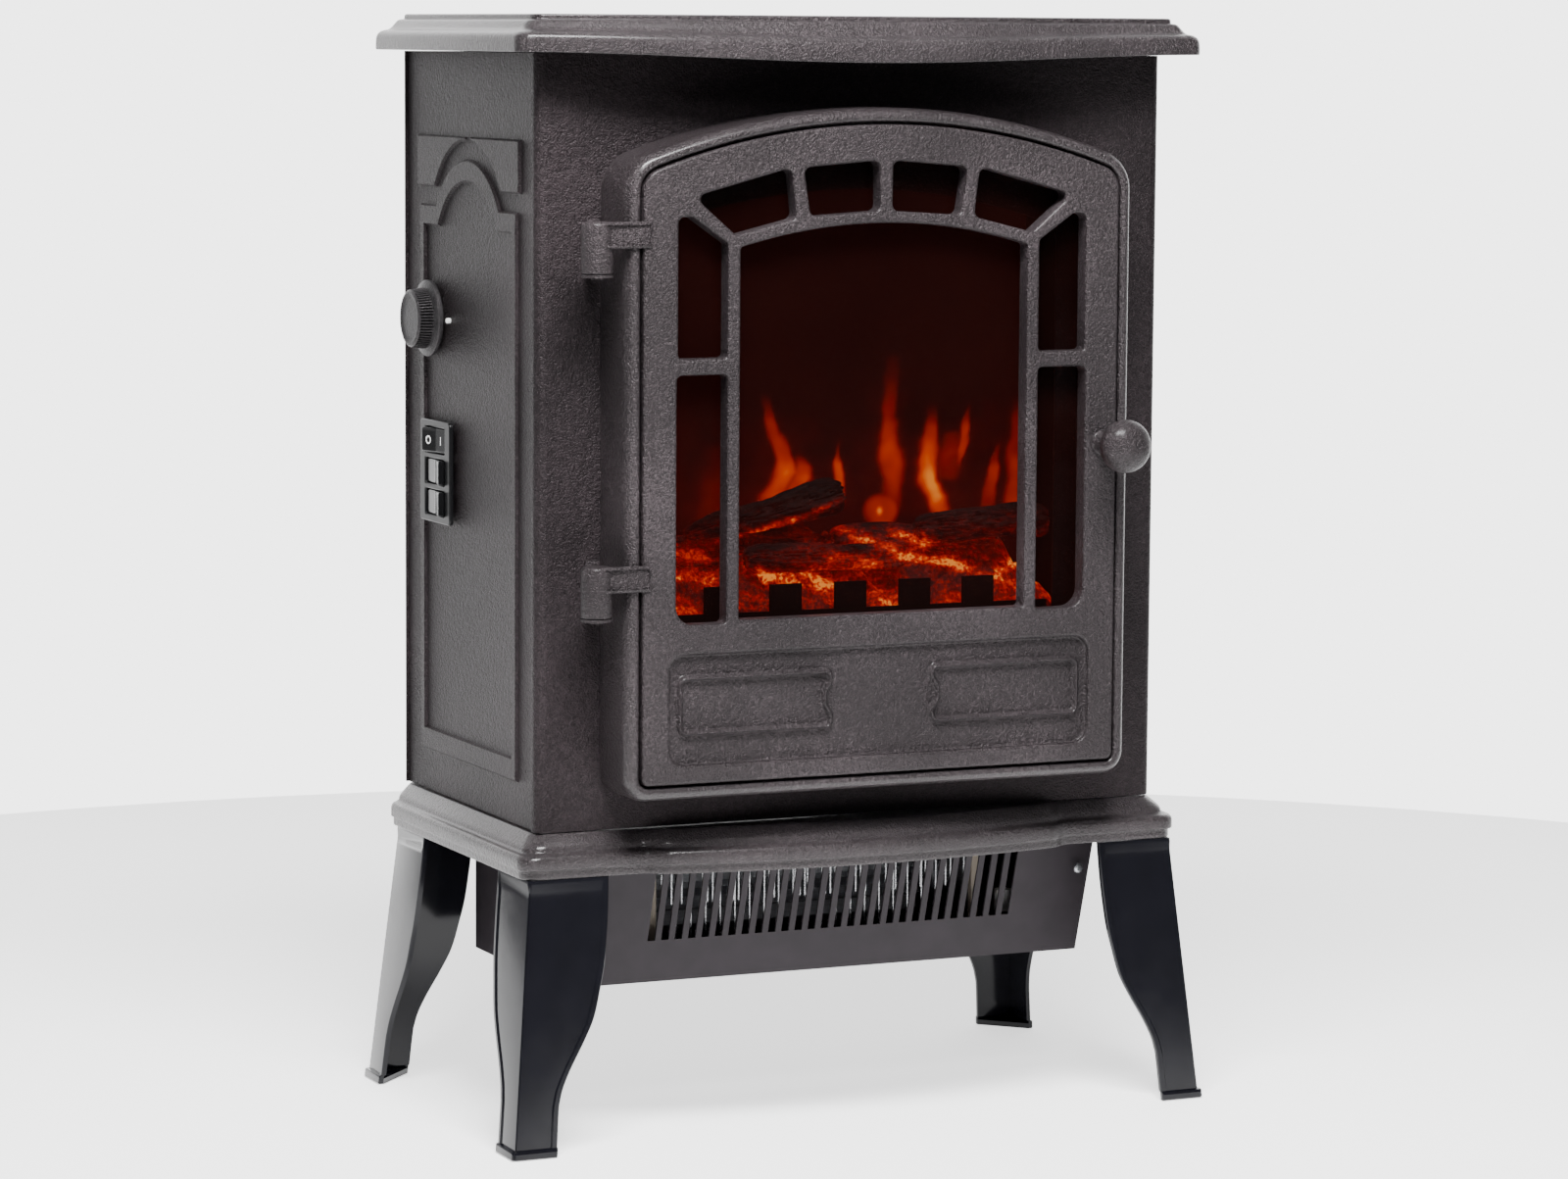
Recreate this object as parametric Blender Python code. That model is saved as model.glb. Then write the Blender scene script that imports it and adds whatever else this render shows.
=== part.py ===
"""Freestanding electric stove heater: casing on four splayed legs, hinged arched door, fire set, fan heater.

Metres, +Z up, the front faces -Y, the origin is under the middle of the stove on the floor.
Every y below is measured from the front face of the fascia, and FASCIA_Y moves it to the stove's middle.
"""

import math

import bmesh
import bpy
from mathutils import Matrix, Vector
from mathutils.geometry import delaunay_2d_cdt

# ---------------------------------------------------------------- driving dimensions
GAP = 0.0003  # between two pieces that touch
SHEET = 0.0012  # casing sheet

BODY_W = 0.3684
BODY_D = 0.2014
BODY_H = 0.411
LEG_H = 0.146
BASE_H = 0.023
LID_H = 0.020

BODY_X = BODY_W / 2
BASE_Z = LEG_H  # underside of the base
BODY_Z = LEG_H + BASE_H  # underside of the casing
LID_Z = BODY_Z + BODY_H  # underside of the lid
TOP_Z = LID_Z + LID_H

LID_SIDE = 0.017  # lid past the casing at each side
LID_FRONT = 0.0182
LID_BACK = 0.0062
LID_BOW = 0.019  # forward bow at the middle of the lid's front
LID_SAG = 0.0048  # the lid's lower edge hangs this much lower at mid-front
BASE_SIDE = 0.0118
BASE_FRONT = 0.0116
BASE_BOW_STEP = 0.006
BASE_BOW = 0.013
BASE_BOW_X = 0.121  # half width of the bowed part of the base
LEG_TOP_SIDE = 0.0092  # leg's outer corner past the casing at its top
LEG_TOP_FRONT = 0.0114
LEG_TOP_BACK = -0.0056
LEG_SPLAY = 0.0139
LEG_FLANGE = 0.0455
LEG_WALL = 0.0028

DOOR_W = 0.2786
DOOR_FACE = 0.0382  # door's face in front of the fascia
DOOR_T = 0.010
DOOR_FOOT = 0.028  # door's foot above the casing's
DOOR_HEAD = 0.0368  # door's crown below the lid
DOOR_Z = BODY_Z + DOOR_FOOT
DOOR_TOP = LID_Z - DOOR_HEAD
DOOR_X = DOOR_W / 2
DOOR_BACK = -(DOOR_FACE - DOOR_T)
DOOR_ARCH_R = 0.385
DOOR_CORNER_R = 0.013
DOOR_FOOT_R = 0.004
DOOR_GAP = 0.0012
SURROUND_W = 0.0088  # out from the door's edge
SURROUND_CREST = 0.0006  # bullnose behind the door's face

KNUCKLE_R = 0.0084
KNUCKLE_H = 0.0271
KNUCKLE_ROUND = 0.0026  # round its top edge
ARM_H = 0.0138
ARM_T = 0.0017
ARM_REACH = 0.0048  # arm's end on the door's face
HINGE_OUT = 0.0237  # pin's axis out from the door's edge
HINGE_X = -(DOOR_X + HINGE_OUT)
HINGE_Y = -(DOOR_FACE + GAP + ARM_T - KNUCKLE_R)
HINGE_TOPS = (DOOR_TOP - 0.0499, DOOR_Z + 0.1169)
HINGE_PIN_R = 0.002
HINGE_PIN_UP = 0.018  # how far the pin goes into the knuckle
PIN_CLEAR = 0.0003
EAR_T = 0.0016
BRACKET_T = 0.0018
BRACKET_W = 0.0074

KNOB_R = 0.0144
KNOB_X = DOOR_X - 0.0091
KNOB_Z = (DOOR_Z + DOOR_TOP) / 2 + 0.0009
KNOB_REACH = 0.0268  # middle of the ball in front of the door's face
KNOB_FLAT = 0.82  # depth of the ball over its width

FRONT_REACH = DOOR_FACE + KNOB_REACH + KNOB_R * KNOB_FLAT
BACK_REACH = BODY_D + LEG_TOP_BACK + LEG_SPLAY
FASCIA_Y = (FRONT_REACH - BACK_REACH) / 2

DIAL_Y = BODY_D - 0.0414
DIAL_Z = LID_Z - 0.1467
DIAL_R = 0.0212
DIAL_REACH = 0.0123
DIAL_RIBS = 30
DIAL_SHAFT_R = 0.0030
DIAL_HOLE_R = DIAL_SHAFT_R + 0.0035
SWITCH_Y = BODY_D - 0.0545
SWITCH_Z = DIAL_Z - 0.0839
SWITCH_PITCH = 0.0172
BEZEL_W = 0.0465
BEZEL_H = 0.0565
BEZEL_T = 0.0022
ROCKER_L = 0.029
ROCKER_H = 0.0135
ROCKER_TILT = 8.0
ROCKER_CLEAR_L = 0.0006  # round a rocker in its slot
ROCKER_CLEAR_H = 0.0004
SWITCH_BODY_H = 0.0140

VENT_COUNT = 28
VENT_SPAN = 0.2220
VENT_FILL = 0.56  # slot's width over the slots' pitch
VENT_UP = 0.024  # slots' foot above the box's floor
VENT_DOWN = 0.0035  # slots' top below the base
HEATER_SIDE = 0.0287  # box's side in from the casing's
HEATER_X = BODY_X - HEATER_SIDE
HEATER_BACK = BODY_D - 0.0354
HEATER_DROP = 0.068
HEATER_Z = BASE_Z - HEATER_DROP
HEATER_TOP_Y = 0.0125  # front face at the base's underside
HEATER_RAKE = 0.0210  # and how much further back its foot is
HEATER_T = 0.0015

ELEMENT_Y = HEATER_TOP_Y + 0.0335
ELEMENT_X = 0.100
ELEMENT_T = 0.004
ELEMENT_TURNS = 22
WIRE_R = 0.0006

FAN_R = 0.022
FAN_X = 0.085
FAN_SHAFT_R = 0.0020
FAN_MOTOR_R = 0.022
FAN_Y = (ELEMENT_Y + HEATER_BACK) / 2 + 0.004
FAN_Z = HEATER_Z + 0.034
SHAFT_CLEAR = 0.0003

FASCIA_T = 0.0015
FASCIA_RETURN = 0.007
SHELF_Z = BODY_Z + 0.095
FIRE_HALF = DOOR_X - 0.0183
FIRE_LOW = SHELF_Z + 0.006
FIRE_TOP = DOOR_TOP - 0.0352
FIRE_ARCH_R = DOOR_ARCH_R - 0.025
FIRE_CEILING = LID_Z - 0.040
CHEEK_X = FIRE_HALF + 0.015
SCREEN_Y = 0.062
SCREEN_T = 0.003
SCREEN_SIDE = 0.002  # screen's edge in from the cheek
ROTOR_Y = SCREEN_Y + 0.038
ROTOR_Z = SHELF_Z + 0.036
ROTOR_R = 0.017
ROTOR_X = CHEEK_X - 0.038
ROTOR_BLADES = 5
ROTOR_SHAFT_R = 0.0020
FIRE_BACK = ROTOR_Y + 0.052
FRET_Y = FASCIA_T + 0.0015
FRET_T = 0.0025
FRET_BAR = 0.0115  # bar's top above the opening's foot
FRET_TOOTH = 0.026
FRET_PITCH = 0.0385
FRET_TOOTH_W = 0.0184
FRET_TEETH = 5

INLET_X = -0.120
INLET_Z = BODY_Z + 0.036
INLET_R = 0.0078
INLET_CLEAR = 0.0007
GRILLE_LOW = BODY_Z + 0.046
GRILLE_H = 0.030
GRILLE_PITCH = 0.012
GRILLE_SLOTS = 11


# ---------------------------------------------------------------- materials
def material(name, colour, rough=0.5, metal=0.0, alpha=1.0):
    m = bpy.data.materials.get(name)
    if m:
        return m
    m = bpy.data.materials.new(name)
    m.use_nodes = True
    shader = m.node_tree.nodes["Principled BSDF"]
    shader.inputs["Base Color"].default_value = (*colour, 1)
    shader.inputs["Roughness"].default_value = rough
    shader.inputs["Metallic"].default_value = metal
    shader.inputs["Alpha"].default_value = alpha
    return m


BLACK = (0.045, 0.043, 0.046)
FINISH = {
    "casing": (BLACK, 0.5, 0.0),
    "leg": ((0.03, 0.03, 0.034), 0.3, 0.0),
    "door": (BLACK, 0.5, 0.0),
    "plastic": ((0.02, 0.02, 0.022), 0.35, 0.0),
    "steel": ((0.55, 0.55, 0.56), 0.35, 1.0),
    "zinc": ((0.42, 0.42, 0.43), 0.45, 1.0),
    "board": ((0.05, 0.16, 0.07), 0.6, 0.0),
    "mica": ((0.55, 0.48, 0.38), 0.7, 0.0),
    "char": ((0.03, 0.02, 0.017), 0.85, 0.0),
    "white": ((0.8, 0.8, 0.78), 0.5, 0.0),
}


def finish_of(obj, finish):
    colour, rough, metal = FINISH[finish]
    obj.data.materials.clear()
    obj.data.materials.append(material(obj.name + "_" + finish, colour, rough, metal))


# ---------------------------------------------------------------- mesh helpers
def add_mesh(name, verts, faces, finish, pivot=None, cutter=False):
    """A closed mesh from points given from the fascia, with its origin at pivot when it turns."""
    shift = Vector((0, FASCIA_Y, 0))
    base = Vector(pivot) + shift if pivot else Vector((0, 0, 0))
    mesh = bpy.data.meshes.new(name)
    mesh.from_pydata([Vector(v) + shift - base for v in verts], [], faces)
    bm = bmesh.new()
    bm.from_mesh(mesh)
    bmesh.ops.recalc_face_normals(bm, faces=bm.faces)
    if bm.calc_volume(signed=True) < 0:
        bmesh.ops.reverse_faces(bm, faces=bm.faces)
    bm.to_mesh(mesh)
    bm.free()
    obj = bpy.data.objects.new(name, mesh)
    obj.location = base
    bpy.context.scene.collection.objects.link(obj)
    if cutter:
        obj.hide_render = True
        obj.display_type = "WIRE"
    else:
        finish_of(obj, finish)
    return obj


def combine(obj, operation, cutter):
    mod = obj.modifiers.new(operation.lower() + str(len(obj.modifiers)), "BOOLEAN")
    mod.operation = operation
    mod.object = cutter
    mod.solver = "EXACT"


def placer(plane):
    """Turns plane coordinates and a height off the plane into a point."""
    if plane == "xz":
        return lambda a, b, c: (a, c, b)
    if plane == "yz":
        return lambda a, b, c: (c, a, b)
    return lambda a, b, c: (a, b, c)


def inside(point, loop):
    x, y = point
    hit = False
    j = len(loop) - 1
    for i in range(len(loop)):
        xi, yi = loop[i]
        xj, yj = loop[j]
        if (yi > y) != (yj > y) and x < (xj - xi) * (y - yi) / (yj - yi) + xi:
            hit = not hit
        j = i
    return hit


def fill(outer, holes):
    """Triangles over the outline less its holes, as indices into the outline's points and then each hole's."""
    points = []
    edges = []
    for loop in [outer] + holes:
        start = len(points)
        points += [Vector(p) for p in loop]
        edges += [(start + i, start + (i + 1) % len(loop)) for i in range(len(loop))]
    got = delaunay_2d_cdt(points, edges, [], 0, 1e-7)
    index = [origin[0] if origin else -1 for origin in got[3]]
    if -1 in index:
        raise ValueError("two outlines cross or touch")
    tris = []
    for face in got[2]:
        ids = [index[i] for i in face]
        mid = sum((points[i] for i in ids), Vector((0, 0))) / 3
        if inside(mid, outer) and not any(inside(mid, hole) for hole in holes):
            tris.append(ids)
    return tris


class Relief:
    """A closed solid made of flat caps over loops, joined by walls."""

    def __init__(self, plane):
        self.place = placer(plane)
        self.verts = []
        self.faces = []
        self.known = {}

    def index(self, point, level):
        key = (round(point[0], 7), round(point[1], 7), round(level, 7))
        if key not in self.known:
            self.known[key] = len(self.verts)
            self.verts.append(self.place(point[0], point[1], level))
        return self.known[key]

    def cap(self, outer, holes, level):
        points = list(outer) + [p for hole in holes for p in hole]
        for tri in fill(list(outer), [list(h) for h in holes]):
            self.faces.append([self.index(points[i], level) for i in tri])

    def wall(self, loop, low, high):
        for i in range(len(loop)):
            a, b = loop[i], loop[(i + 1) % len(loop)]
            self.faces.append(
                [self.index(a, low), self.index(b, low), self.index(b, high), self.index(a, high)]
            )


def plate(name, plane, outer, low, high, finish, holes=(), pivot=None, cutter=False):
    r = Relief(plane)
    holes = list(holes)
    r.cap(outer, holes, low)
    r.cap(outer, holes, high)
    for loop in [outer] + holes:
        r.wall(loop, low, high)
    return add_mesh(name, r.verts, r.faces, finish, pivot, cutter)


def rect(a0, b0, a1, b1):
    return [(a0, b0), (a1, b0), (a1, b1), (a0, b1)]


def round_rect(a0, b0, a1, b1, radius, steps=4):
    points = []
    for ca, cb, start in (
        (a1 - radius, b0 + radius, -90),
        (a1 - radius, b1 - radius, 0),
        (a0 + radius, b1 - radius, 90),
        (a0 + radius, b0 + radius, 180),
    ):
        for k in range(steps + 1):
            t = math.radians(start + 90 * k / steps)
            points.append((ca + radius * math.cos(t), cb + radius * math.sin(t)))
    return points


def circle(ca, cb, radius, count=24):
    turn = 2 * math.pi / count
    return [(ca + radius * math.cos(turn * k), cb + radius * math.sin(turn * k)) for k in range(count)]


def box(name, low, high, finish, pivot=None, cutter=False):
    outline = rect(low[0], low[1], high[0], high[1])
    return plate(name, "xy", outline, low[2], high[2], finish, pivot=pivot, cutter=cutter)


def turned(name, axis, centre, profile, finish, count=24, pivot=None, cutter=False, wave=None):
    """A lathe shape: profile is (radius, distance along the axis), from one end's middle to the other's."""
    verts = []
    faces = []
    rings = []
    for radius, along in profile:
        if radius < 1e-6:
            rings.append([len(verts)])
            verts.append((0, 0, along))
            continue
        ring = []
        for k in range(count):
            t = 2 * math.pi * k / count
            r = radius * (wave(k, along) if wave else 1)
            ring.append(len(verts))
            verts.append((r * math.cos(t), r * math.sin(t), along))
        rings.append(ring)
    for low, high in zip(rings, rings[1:]):
        for k in range(count):
            n = (k + 1) % count
            if len(low) == 1:
                faces.append([low[0], high[n], high[k]])
            elif len(high) == 1:
                faces.append([low[k], low[n], high[0]])
            else:
                faces.append([low[k], low[n], high[n], high[k]])
    turn = {"x": (2, 0, 1), "y": (1, 2, 0), "z": (0, 1, 2)}[axis]
    placed = [tuple(v[turn[i]] + centre[i] for i in range(3)) for v in verts]
    return add_mesh(name, placed, faces, finish, pivot, cutter)


def rod(name, axis, centre, radius, low, high, finish, count=20, pivot=None, cutter=False):
    profile = [(0, low), (radius, low), (radius, high), (0, high)]
    return turned(name, axis, centre, profile, finish, count, pivot, cutter)


def ring_loft(name, rings, finish, closed_tube=False):
    """Skins matching rings of points. Ends are filled, unless the last ring joins the first."""
    count = len(rings[0])
    verts = [p for ring in rings for p in ring]
    faces = []
    last = len(rings) if closed_tube else len(rings) - 1
    for r in range(last):
        a = r * count
        b = ((r + 1) % len(rings)) * count
        for k in range(count):
            n = (k + 1) % count
            faces.append([a + k, a + n, b + n, b + k])
    if not closed_tube:
        for start in (0, (len(rings) - 1) * count):
            loop = [(verts[start + k][0], verts[start + k][1]) for k in range(count)]
            faces += [[start + i for i in tri] for tri in fill(loop, [])]
    return add_mesh(name, verts, faces, finish)


# ---------------------------------------------------------------- outlines
def arched(offset=0.0, half=DOOR_X, foot=DOOR_Z, top=DOOR_TOP, arch=DOOR_ARCH_R, corner=DOOR_CORNER_R,
           foot_r=DOOR_FOOT_R, arch_steps=20, corner_steps=5):
    """The door's arched outline grown by offset, from the right foot anticlockwise."""
    centre_z = top - arch
    side_x = half - corner
    side_z = centre_z + math.sqrt((arch - corner) ** 2 - side_x**2)
    lean = math.atan2(side_z - centre_z, side_x)
    points = []
    for k in range(corner_steps + 1):
        t = -math.pi / 2 + math.pi / 2 * k / corner_steps
        r = foot_r + offset
        points.append((half - foot_r + r * math.cos(t), foot + foot_r + r * math.sin(t)))
    for k in range(corner_steps + 1):
        t = lean * k / corner_steps
        r = corner + offset
        points.append((side_x + r * math.cos(t), side_z + r * math.sin(t)))
    for k in range(1, arch_steps):
        t = lean + (math.pi - 2 * lean) * k / arch_steps
        r = arch + offset
        points.append((r * math.cos(t), centre_z + r * math.sin(t)))
    points += [(-x, z) for x, z in reversed(points[: 2 * (corner_steps + 1)])]
    return points


def bell(x, half):
    if abs(x) >= half:
        return 0.0
    return 0.5 + 0.5 * math.cos(math.pi * x / half)


def base_bow(x):
    """How far the base's front stands out of its straight line."""
    step_run = 0.007
    ramp = min(1.0, max(0.0, (BASE_BOW_X + step_run - abs(x)) / (2 * step_run)))
    ramp = ramp * ramp * (3 - 2 * ramp)
    arc = max(0.0, 1 - (x / BASE_BOW_X) ** 2)
    return BASE_BOW_STEP * ramp + BASE_BOW * arc


def lid_bow(x):
    return LID_BOW * max(0.0, 1 - (x / (BODY_X + LID_SIDE)) ** 2)


def moulded_ring(half, front, back, corner, z, bow, sag=0.0, front_steps=36, corner_steps=4):
    """One level of the lid or base: a rounded rectangle whose front follows bow."""
    ring = []
    xs = [-half + corner + (2 * half - 2 * corner) * k / front_steps for k in range(front_steps + 1)]
    for x in xs:
        ring.append((x, front - bow(x), z - sag * bell(x, half)))
    for cx, cy, start in ((half - corner, front + corner, -90), (half - corner, back - corner, 0),
                          (-half + corner, back - corner, 90), (-half + corner, front + corner, 180)):
        shift = bow(half - corner) if cy == front + corner else 0.0
        for k in range(corner_steps + 1):
            t = math.radians(start + 90 * k / corner_steps)
            fade = shift * (0.5 - 0.5 * math.sin(t))
            if (start == -90 and k == 0) or (start == 180 and k == corner_steps):
                continue
            forward = fade * max(0.0, -math.sin(t))
            ring.append((cx + corner * math.cos(t), cy + corner * math.sin(t) - forward, z))
    return ring


# ---------------------------------------------------------------- start clean
for old in list(bpy.data.objects):
    bpy.data.objects.remove(old, do_unlink=True)


# ---------------------------------------------------------------- lid and base
def build_lid():
    half = BODY_X + LID_SIDE
    front = -LID_FRONT
    back = BODY_D + LID_BACK
    wall = 0.004
    # inset, height above the underside, share of the sag
    profile = ((0.0, 0.0, 1.0), (0.0004, 0.0059, 0.8), (0.0012, 0.0091, 0.7), (0.0033, 0.0107, 0.6),
               (0.0058, 0.0112, 0.5), (0.0082, 0.0139, 0.25), (0.0103, 0.0164, 0.0), (0.0130, 0.0168, 0.0),
               (0.0132, LID_H - 0.0006, 0.0), (0.0138, LID_H, 0.0))
    rings = []
    for inset, up in ((wall + 0.011, LID_H - wall), (wall + 0.008, 0.0105), (wall, 0.006), (wall, 0.0)):
        sag = LID_SAG * (1.0 if up < 0.007 else 0.0)
        height = LID_Z + GAP + up
        rings.append(moulded_ring(half - inset, front + inset, back - inset, 0.004, height, lid_bow, sag))
    for inset, up, share in profile:
        corner = 0.007 if inset < 0.005 else 0.004
        height = LID_Z + GAP + up * (LID_H - GAP) / LID_H
        rings.append(
            moulded_ring(half - inset, front + inset, back - inset, corner, height, lid_bow, LID_SAG * share)
        )
    ring_loft("top_plate", rings, "casing")


def build_base():
    half = BODY_X + BASE_SIDE
    front = -BASE_FRONT
    wall = 0.004
    top = BODY_Z - GAP
    profile = ((0.0018, 0.0), (0.0014, 0.0042), (0.0, 0.0048), (0.0, 0.0102), (0.0010, 0.0126), (0.0044, 0.0144),
               (0.0052, 0.0164), (0.0086, 0.0200), (0.0114, BASE_H - GAP))
    rings = []
    hollow = ((wall + 0.012, BASE_H - wall), (wall + 0.008, 0.016), (wall + 0.0018, 0.010), (wall + 0.0018, 0.0))
    for inset, up in hollow:
        rings.append(
            moulded_ring(half - inset, front + inset, BODY_D + GAP - wall, 0.005, BASE_Z + up, base_bow)
        )
    for inset, up in profile:
        height = min(BASE_Z + up, top)
        rings.append(moulded_ring(half - inset, front + inset, BODY_D + GAP, 0.008, height, base_bow))
    ring_loft("base_plate", rings, "casing")


build_lid()
build_base()


# ---------------------------------------------------------------- casing
PANEL_LOW = BODY_Z + GAP
PANEL_HIGH = LID_Z - GAP


def build_fascia():
    outer = rect(-BODY_X, PANEL_LOW, BODY_X, PANEL_HIGH)
    opening = arched(half=FIRE_HALF, foot=FIRE_LOW, top=FIRE_TOP, arch=FIRE_ARCH_R, corner=0.012,
                     arch_steps=16)
    r = Relief("xz")
    inner = rect(-BODY_X + FASCIA_T, PANEL_LOW, BODY_X - FASCIA_T, PANEL_HIGH)
    # front face and the back of the face
    r.cap(outer, [opening], 0.0)
    r.cap(inner, [opening], FASCIA_T)
    r.wall(opening, 0.0, FASCIA_T)
    # top and bottom edges and the two side returns
    for z in (PANEL_LOW, PANEL_HIGH):
        points = [(-BODY_X, 0), (BODY_X, 0), (BODY_X, FASCIA_RETURN), (BODY_X - FASCIA_T, FASCIA_RETURN),
                  (BODY_X - FASCIA_T, FASCIA_T), (-BODY_X + FASCIA_T, FASCIA_T),
                  (-BODY_X + FASCIA_T, FASCIA_RETURN), (-BODY_X, FASCIA_RETURN)]
        r.faces.append([r.index((x, z), y) for x, y in points])
    for side in (-1, 1):
        out = side * BODY_X
        back = side * (BODY_X - FASCIA_T)
        for (x0, y0), (x1, y1) in (((out, 0), (out, FASCIA_RETURN)), ((out, FASCIA_RETURN), (back, FASCIA_RETURN)),
                                   ((back, FASCIA_RETURN), (back, FASCIA_T))):
            r.faces.append([r.index((x0, PANEL_LOW), y0), r.index((x1, PANEL_LOW), y1),
                            r.index((x1, PANEL_HIGH), y1), r.index((x0, PANEL_HIGH), y0)])
    return add_mesh("front_fascia", r.verts, r.faces, "casing")


def build_sides():
    y0 = FASCIA_RETURN + GAP
    y1 = BODY_D - SHEET - GAP
    outline = rect(y0, PANEL_LOW, y1, PANEL_HIGH)
    dial_hole = circle(DIAL_Y, DIAL_Z, DIAL_HOLE_R, 16)
    half_l = ROCKER_L / 2 + 0.00275
    half_h = SWITCH_PITCH + ROCKER_H / 2 + 0.0018
    switch_hole = rect(SWITCH_Y - half_l, SWITCH_Z - half_h, SWITCH_Y + half_l, SWITCH_Z + half_h)
    plate("side_panel_left", "yz", outline, -BODY_X, -BODY_X + SHEET, "casing", [dial_hole, switch_hole])
    plate("side_panel_right", "yz", outline, BODY_X - SHEET, BODY_X, "casing")


def build_back():
    outline = rect(-BODY_X, PANEL_LOW, BODY_X, PANEL_HIGH)
    inlet = []
    for k in range(GRILLE_SLOTS):
        x = GRILLE_PITCH * (k - GRILLE_SLOTS // 2)
        inlet.append(rect(x, GRILLE_LOW, x + GRILLE_PITCH / 2, GRILLE_LOW + GRILLE_H))
    gland = [circle(INLET_X, INLET_Z, INLET_R + INLET_CLEAR, 16)]
    plate("back_panel", "xz", outline, BODY_D - SHEET, BODY_D, "casing", inlet + gland)


def build_surround():
    crest = -(DOOR_FACE - SURROUND_CREST)
    foot = -GAP
    profile = ((DOOR_GAP, foot), (DOOR_GAP, crest + 0.0021), (0.0022, crest + 0.0007), (0.0040, crest),
               (0.0056, crest + 0.0006), (0.0071, crest + 0.0023), (0.0083, crest + 0.0050),
               (SURROUND_W, crest + 0.0085), (SURROUND_W, foot))
    rings = [[(x, y, z) for x, z in arched(offset)] for offset, y in profile]
    ring_loft("door_surround", rings, "casing", closed_tube=True)


build_fascia()
build_sides()
build_back()
build_surround()


# ---------------------------------------------------------------- legs
# height as a share of the leg's, width as a share of the flange's
LEG_WIDTHS = ((1.0, 1.0), (0.81, 1.02), (0.685, 1.01), (0.59, 0.97), (0.493, 0.915), (0.411, 0.81),
              (0.315, 0.66), (0.247, 0.575), (0.164, 0.535), (0.034, 0.54))
FOOT_LIP = 0.0012
FOOT_LIP_H = 0.0045
FOOT_PLATE = 0.0030


def build_leg(name, side, end):
    """An L-section leg: side is -1 for left, end is -1 for front. Its corner leans out toward the floor.

    A three-cornered plate closes its foot, and a small lip runs round the foot's edge.
    """
    top_x = BODY_X + LEG_TOP_SIDE - FOOT_LIP
    top_y = (LEG_TOP_FRONT if end < 0 else BODY_D + LEG_TOP_BACK) - FOOT_LIP
    levels = [(share_z * LEG_H, share, 0.0, False) for share_z, share in LEG_WIDTHS]
    foot = LEG_WIDTHS[-1][1]
    levels += [(FOOT_LIP_H, foot, FOOT_LIP, False), (FOOT_PLATE, foot, FOOT_LIP, False),
               (FOOT_PLATE, foot, FOOT_LIP, True),
               (0.0, foot, FOOT_LIP, True)]
    rings = []
    for z, share, lip, webbed in levels:
        x = top_x + LEG_SPLAY * (1 - z / LEG_H) + lip
        y = top_y + LEG_SPLAY * (1 - z / LEG_H) + lip
        flange = LEG_FLANGE * share
        wall = LEG_WALL
        corner = 0.002
        heel = (flange + wall) / 2 if webbed else wall
        # plan of the L: its corner at (x, y), its flanges running inward
        plan = [(x, y - corner), (x - 0.3 * corner, y - 0.3 * corner), (x - corner, y), (x - flange, y),
                (x - flange, y - wall), (x - heel, y - heel), (x - wall, y - flange), (x, y - flange)]
        height = min(z, BASE_Z - GAP)
        rings.append([(side * px, -py if end < 0 else py, height) for px, py in plan])
    ring_loft(name, rings, "leg")


for leg_name, leg_side, leg_end in (("leg_front_left", -1, -1), ("leg_front_right", 1, -1),
                                    ("leg_back_left", -1, 1), ("leg_back_right", 1, 1)):
    build_leg(leg_name, leg_side, leg_end)


# ---------------------------------------------------------------- door
WINDOW_CORNER_R = 0.008
CENTRE_ARCH_R = 0.30
RECESS_R = 0.009
RECESS_DEPTH = 0.0045
RIDGE_W = 0.0036
RIDGE_UP = 0.0026


def from_side(inset):
    return DOOR_X - inset


def below_top(drop):
    return DOOR_TOP - drop


def above_foot(rise):
    return DOOR_Z + rise


def mirror(loop):
    return [(-x, z) for x, z in reversed(loop)]


def outer_pane():
    return [(0.0516, below_top(0.0491)), (from_side(0.0524), below_top(0.0571)),
            (from_side(0.0295), below_top(0.0387)),
            (from_side(0.0313), below_top(0.0356)), (0.0562, below_top(0.0240)), (0.0540, below_top(0.0254))]


def middle_pane():
    return [(0.0036, below_top(0.0454)), (0.0439, below_top(0.0481)), (0.0478, below_top(0.0227)),
            (0.0040, below_top(0.0192))]


def shoulder_pane():
    inner, outer, foot = from_side(0.0479), from_side(0.0198), below_top(0.1219)
    return [(inner, foot), (outer, foot), (outer, below_top(0.0502)), (from_side(0.0221), below_top(0.0486)),
            (from_side(0.0266), below_top(0.0486)), (inner, below_top(0.0623))]


def side_pane():
    """Square at its inner corners and top, with its lower outer corner rounded."""
    x0, x1 = from_side(0.0479), from_side(0.0193)
    z0, z1 = above_foot(0.0845), below_top(0.1307)
    points = [(x0, z0)]
    for k in range(6):
        t = -math.pi / 2 + math.pi / 2 * k / 5
        points.append((x1 - WINDOW_CORNER_R * (1 - math.cos(t)), z0 + WINDOW_CORNER_R * (1 + math.sin(t))))
    return points + [(x1, z1), (x0, z1)]


def centre_pane():
    half, foot, top = from_side(0.0551), above_foot(0.0860), below_top(0.0520)
    points = [(-half, foot), (half, foot)]
    lean = math.acos(half / CENTRE_ARCH_R)
    for k in range(13):
        t = lean + (math.pi - 2 * lean) * k / 12
        points.append((CENTRE_ARCH_R * math.cos(t), top + CENTRE_ARCH_R * (math.sin(t) - 1)))
    return points


def door_windows():
    loops = [centre_pane()]
    for loop in (outer_pane(), middle_pane(), shoulder_pane(), side_pane()):
        loops += [loop, mirror(loop)]
    return loops


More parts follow.
